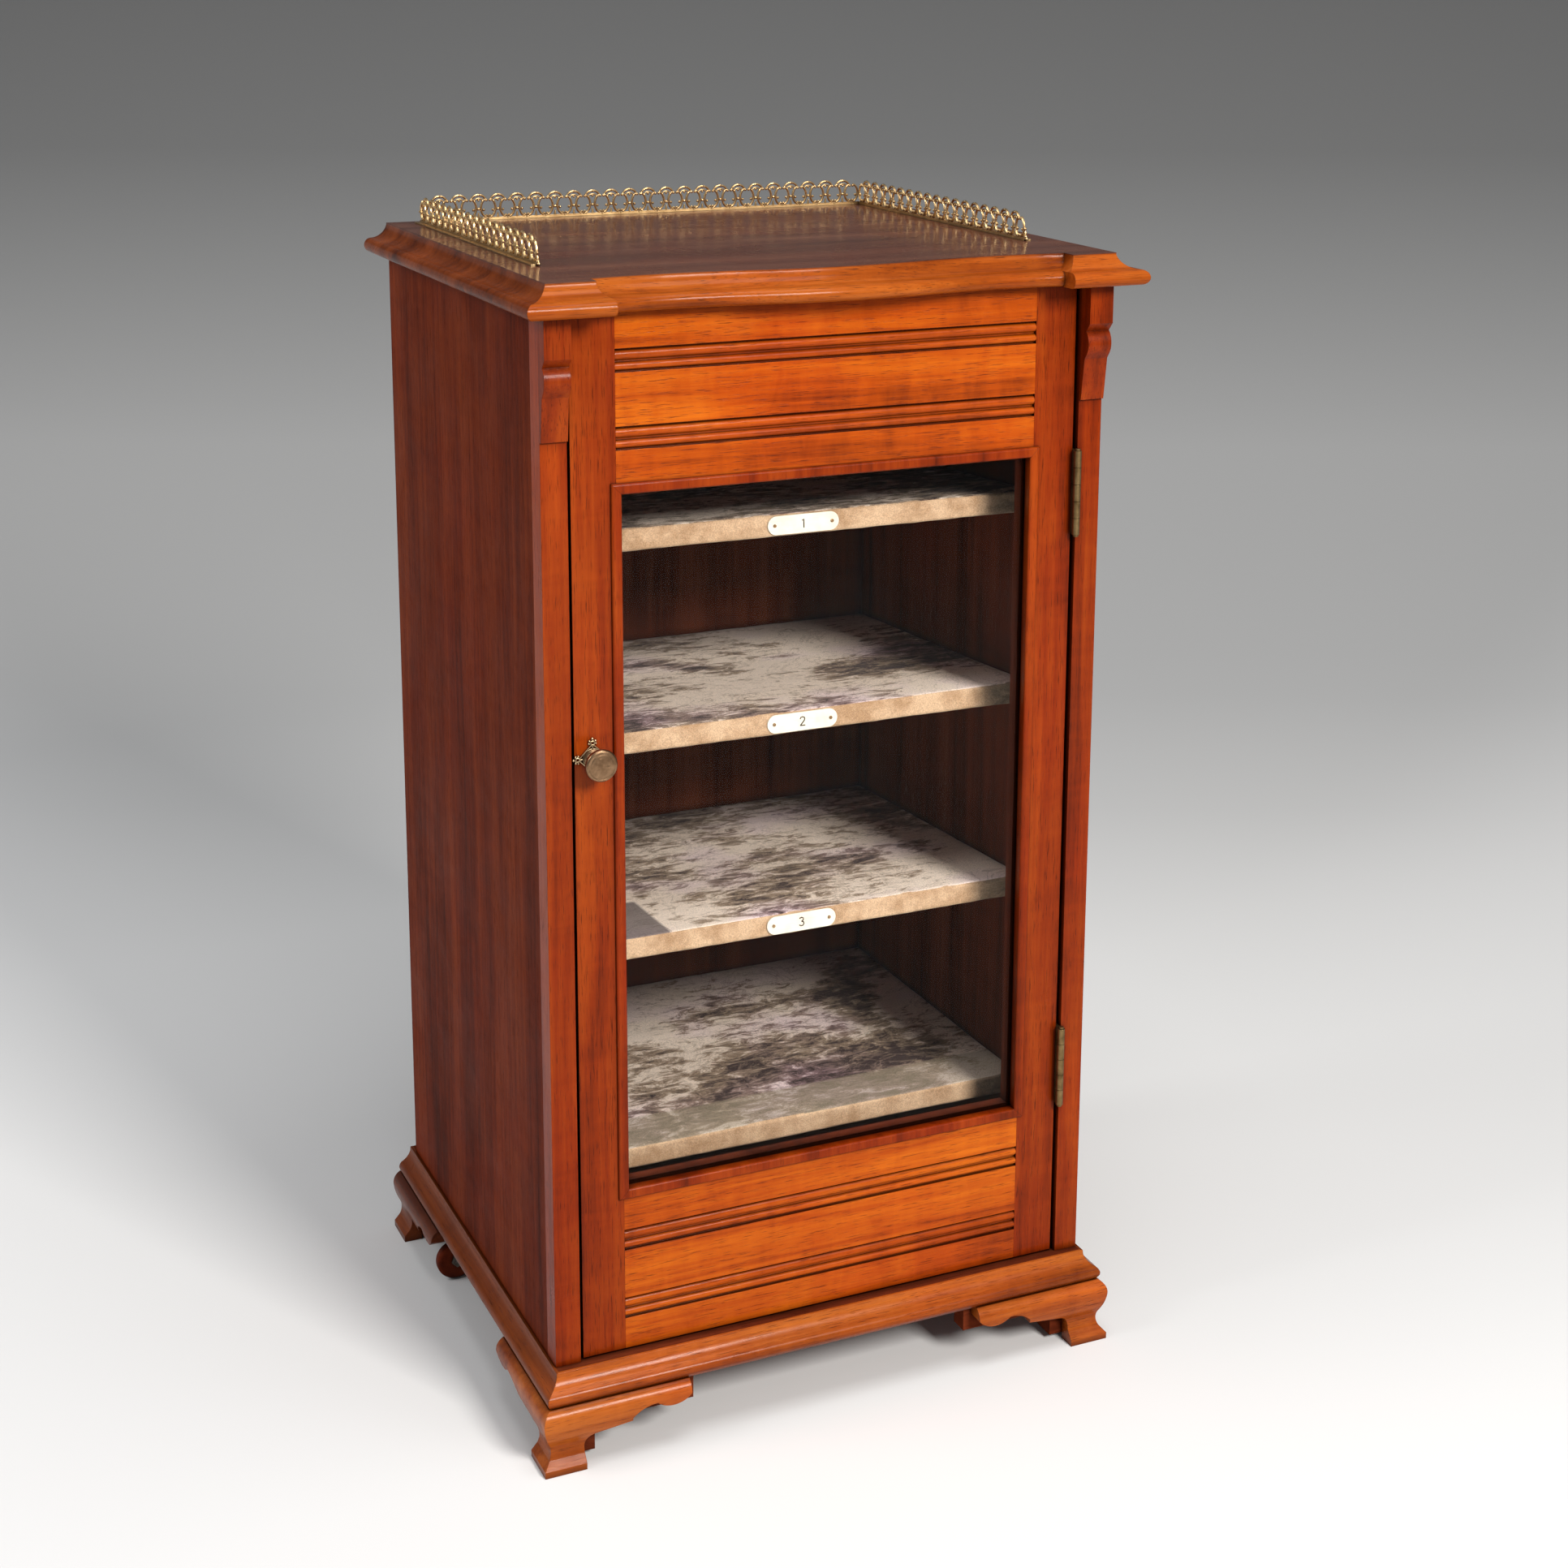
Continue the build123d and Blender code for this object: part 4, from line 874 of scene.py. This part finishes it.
def knob_relief(radius, angle):
    """A worn flower on the knob's face: petals fading toward the rim and the middle."""
    r = radius / MM
    if r > FLOWER_R:
        return 0.0
    petals = math.cos(PETALS * angle) * math.exp(-(((r - 5.0) / 2.2) ** 2))
    ring = math.exp(-(((r - 9.2) / 0.7) ** 2))
    worn = 0.75 + 0.25 * noise.noise(Vector((r, angle * 2, 0)))
    return FLOWER_H * worn * (petals + 0.5 * ring)


knob = Shape()
fine = []
for (r0, a0), (r1, a1) in zip(KNOB_PROFILE, KNOB_PROFILE[1:]):
    shares = [k / KNOB_PARTS for k in range(KNOB_PARTS)]
    fine.extend((r0 + (r1 - r0) * share, a0 + (a1 - a0) * share) for share in shares)
fine.append(KNOB_PROFILE[-1])
knob.turned(
    [(r * MM, a * MM) for r, a in fine],
    (knob_x, head_foot, knob_z),
    OUTWARD,
    KNOB_STEPS,
    wave=knob_relief,
)
knob.piece("turned_knob", knob_bronze, "knob", "knob_bronze", "door_knob", smooth=50)

# the plate's collar as (radius in mm, share of the thickness), its lobes and their beads in mm
COLLAR = ((4.3, -0.5), (8.6, -0.5), (8.6, 0.3), (7.6, 0.5), (4.3, 0.5), (4.3, -0.5))
LOBE_AT = 13.2
LOBE_R = 1.7
LOBE_WIRE = 0.62 * MM
# (how far past the lobe's middle, how far sideways, radius)
LOBE_BEADS = (
    (3.6, 0, 1.15),
    (1.7, 2.6, 1.05),
    (1.7, -2.6, 1.05),
    (-0.6, 3.0, 0.9),
    (-0.6, -3.0, 0.9),
)
BEAD_SQUASH = (1, 0.7, 1)
# the bars from lobe to lobe: (share of the way, radius), and how far in from the lobes they run
BAR_POINTS = ((0.08, 0.7), (0.3, 0.6), (0.5, 0.75), (0.7, 0.6), (0.92, 0.7))
BAR_AT = LOBE_AT - 0.8
SPOKE_FROM = 7.5
SPOKE_TO = LOBE_AT - 1.5
SPOKE_R = 0.75 * MM

plate = Shape()
plate_y = (plate_low.y + plate_high.y) / 2


def plate_at(u, v):
    """A point of the plate's middle plane, u across and v up from the knob's axis, in mm."""
    return Vector((knob_x + u * MM, plate_y, knob_z + v * MM))


def lobe(way, along, sideways):
    """A point of the plate along one of its four ways, and to the side of it."""
    return plate_at(way[0] * along - way[1] * sideways, way[1] * along + way[0] * sideways)


plate.turned(
    [(r * MM, a * plate_t) for r, a in COLLAR],
    (knob_x, plate_y, knob_z),
    OUTWARD,
    64,
    open_middle=True,
)
for k in range(4):
    turn = math.radians(90 * k)
    way = (math.cos(turn), math.sin(turn))
    next_way = (math.cos(turn + math.pi / 2), math.sin(turn + math.pi / 2))
    round_lobe = [math.radians(a) for a in range(0, 375, 15)]
    ring = [lobe(way, LOBE_AT + LOBE_R * math.cos(a), LOBE_R * math.sin(a)) for a in round_lobe]
    plate.tube(ring, LOBE_WIRE, 8, up=Y_WAY)
    for along, sideways, radius in LOBE_BEADS:
        plate.ball(lobe(way, LOBE_AT + along, sideways), radius * MM, 8, 12, squash=BEAD_SQUASH)
    bar = []
    for t, radius in BAR_POINTS:
        u, v = ((1 - t) * first + t * second for first, second in zip(way, next_way))
        bar.append(plate_at(BAR_AT * u, BAR_AT * v))
    plate.tube(bar, [radius * MM for t, radius in BAR_POINTS], 8, up=Y_WAY)
    plate.tube([lobe(way, SPOKE_FROM, 0), lobe(way, SPOKE_TO, 0)], SPOKE_R, 8, up=Y_WAY)
plate.piece("pierced_plate", plate_brass, "door", "knob_bronze", "knob_plate", smooth=40)


# Stage, light and camera

# the way from the camera to the cabinet along the floor, and the way across it
FAR_WAY = Vector((0.409, 0.9126, 0.0))
ACROSS_WAY = Vector((0.9126, -0.409, 0.0))
# the sweep: its front edge, its upright wall, the curve between them, its top and half its width
SWEEP_FRONT = -7.0
WALL_AT = 5.6
SWEEP_R = 3.6
SWEEP_STEPS = 24
SWEEP_TOP = 6.0
SWEEP_HALF = 9.0
# the grey of painted shade on the sweep at each distance, along the floor and up the wall
SHADE_NEAR = -1.0
SHADE_FAR = 7.0
PAINTED_STAGE_SHADE = ((-0.9, 0.68), (-0.2, 0.72), (0.3, 0.74), (1.4, 0.58), (3.4, 0.53), (5.0, 0.26), (7.0, 0.16))
WHITE_SHADE = 0.70


def stage_material():
    """Pale floor and backdrop in one sweep: white in front and to the sides, painted greyer further back as
    shade.
    """
    g = Graph("stage_sweep")
    place = g.add("TexCoord").outputs["Object"]
    height = g.add("SeparateXYZ", {0: place}).outputs[2]
    far = g.add("VectorMath", {0: place, 1: FAR_WAY}, operation="DOT_PRODUCT").outputs["Value"]
    across = g.add("VectorMath", {0: place, 1: ACROSS_WAY}, operation="DOT_PRODUCT").outputs["Value"]
    run = g.math("ADD", far, height)
    depth = g.spread(run, SHADE_NEAR, SHADE_FAR)
    stops = []
    for at, shade in PAINTED_STAGE_SHADE:
        stops.append(((at - SHADE_NEAR) / (SHADE_FAR - SHADE_NEAR), (shade, shade, shade * 0.995)))
    # painted shade: the sweep greyed toward the back, behind the cabinet
    painted_shade_grey = g.ramp(depth, *stops)
    aside = g.math("ABSOLUTE", across)
    edge = g.math("SUBTRACT", g.math("SUBTRACT", g.math("MULTIPLY", aside, 1.8), 0.59), run)
    white = g.add(
        "MapRange",
        {"Value": edge, "From Min": -0.55, "From Max": 0.75, "To Min": 0.0, "To Max": 1.0},
        interpolation_type="SMOOTHSTEP",
    ).outputs[0]
    colour = g.mix(white, painted_shade_grey, (WHITE_SHADE,) * 3)
    return g.surface({"Base Color": colour, "Roughness": 1.0, "Specular IOR Level": 0.0})


profile = [(SWEEP_FRONT, 0.0), (WALL_AT - SWEEP_R, 0.0)]
for k in range(1, SWEEP_STEPS + 1):
    angle = math.radians(90 * k / SWEEP_STEPS)
    profile.append((WALL_AT - SWEEP_R + SWEEP_R * math.sin(angle), SWEEP_R * (1 - math.cos(angle))))
profile.append((WALL_AT, SWEEP_TOP))
sweep_mesh = bpy.data.meshes.new("stage_sweep")
corners = []
for far, up in profile:
    for across in (-SWEEP_HALF, SWEEP_HALF):
        corners.append(tuple(FAR_WAY * far + ACROSS_WAY * across + Vector((0, 0, up))))
sides = [(2 * k, 2 * k + 1, 2 * k + 3, 2 * k + 2) for k in range(len(profile) - 1)]
sweep_mesh.from_pydata(corners, [], sides)
sweep_mesh.shade_smooth()
sweep_mesh.materials.append(stage_material())
sweep = bpy.data.objects.new("stage_sweep", sweep_mesh)
bpy.context.scene.collection.objects.link(sweep)

SKY_COLOUR = (0.9, 0.92, 0.95, 1)
SKY_STRENGTH = 0.32
world = bpy.data.worlds.new("studio")
world.use_nodes = True
sky = world.node_tree.nodes["Background"]
sky.inputs["Color"].default_value = SKY_COLOUR
sky.inputs["Strength"].default_value = SKY_STRENGTH
bpy.context.scene.world = world


def lamp(name, place, aim, size, power, colour=(1, 1, 1)):
    """A soft rectangular lamp at a place, turned toward a point. power is in watts."""
    data = bpy.data.lights.new(name, "AREA")
    data.shape = "RECTANGLE"
    data.size, data.size_y = size
    data.energy = power
    data.color = colour
    obj = bpy.data.objects.new(name, data)
    bpy.context.scene.collection.objects.link(obj)
    obj.location = place
    obj.rotation_mode = "QUATERNION"
    obj.rotation_quaternion = (Vector(aim) - Vector(place)).to_track_quat("-Z", "Y")


WARM = (1.0, 0.97, 0.93)
lamp("key", place=(0.8, -3.4, 2.6), aim=(0, 0, 0.6), size=(1.0, 1.0), power=185, colour=WARM)
lamp("above", place=(0.1, -0.9, 3.4), aim=(0, 0, 0.9), size=(1.8, 1.2), power=38)
lamp("floor_left", place=(-3.0, 0.2, 2.6), aim=(-1.8, 0.6, 0.0), size=(1.6, 1.6), power=58)

# fitted to the photograph
LENS = 57.98
SHIFT_X = -0.0021
SHIFT_Y = -0.1852
ROLL = math.radians(0.21)
EYE = Vector((-0.8916, -2.1012, 1.3068))
AIM = Vector((0.0555, 0.012, 0.7955))

camera_data = bpy.data.cameras.new("camera")
camera_data.lens = LENS
camera_data.sensor_width = 36.0
camera_data.shift_x = SHIFT_X
camera_data.shift_y = SHIFT_Y
camera_data.clip_end = 100.0
camera = bpy.data.objects.new("camera", camera_data)
bpy.context.scene.collection.objects.link(camera)
camera.location = EYE
look = (AIM - EYE).to_track_quat("-Z", "Y")
camera.rotation_mode = "QUATERNION"
camera.rotation_quaternion = look @ Quaternion((0, 0, 1), ROLL)
bpy.context.scene.camera = camera
bpy.context.scene.view_settings.view_transform = "Standard"
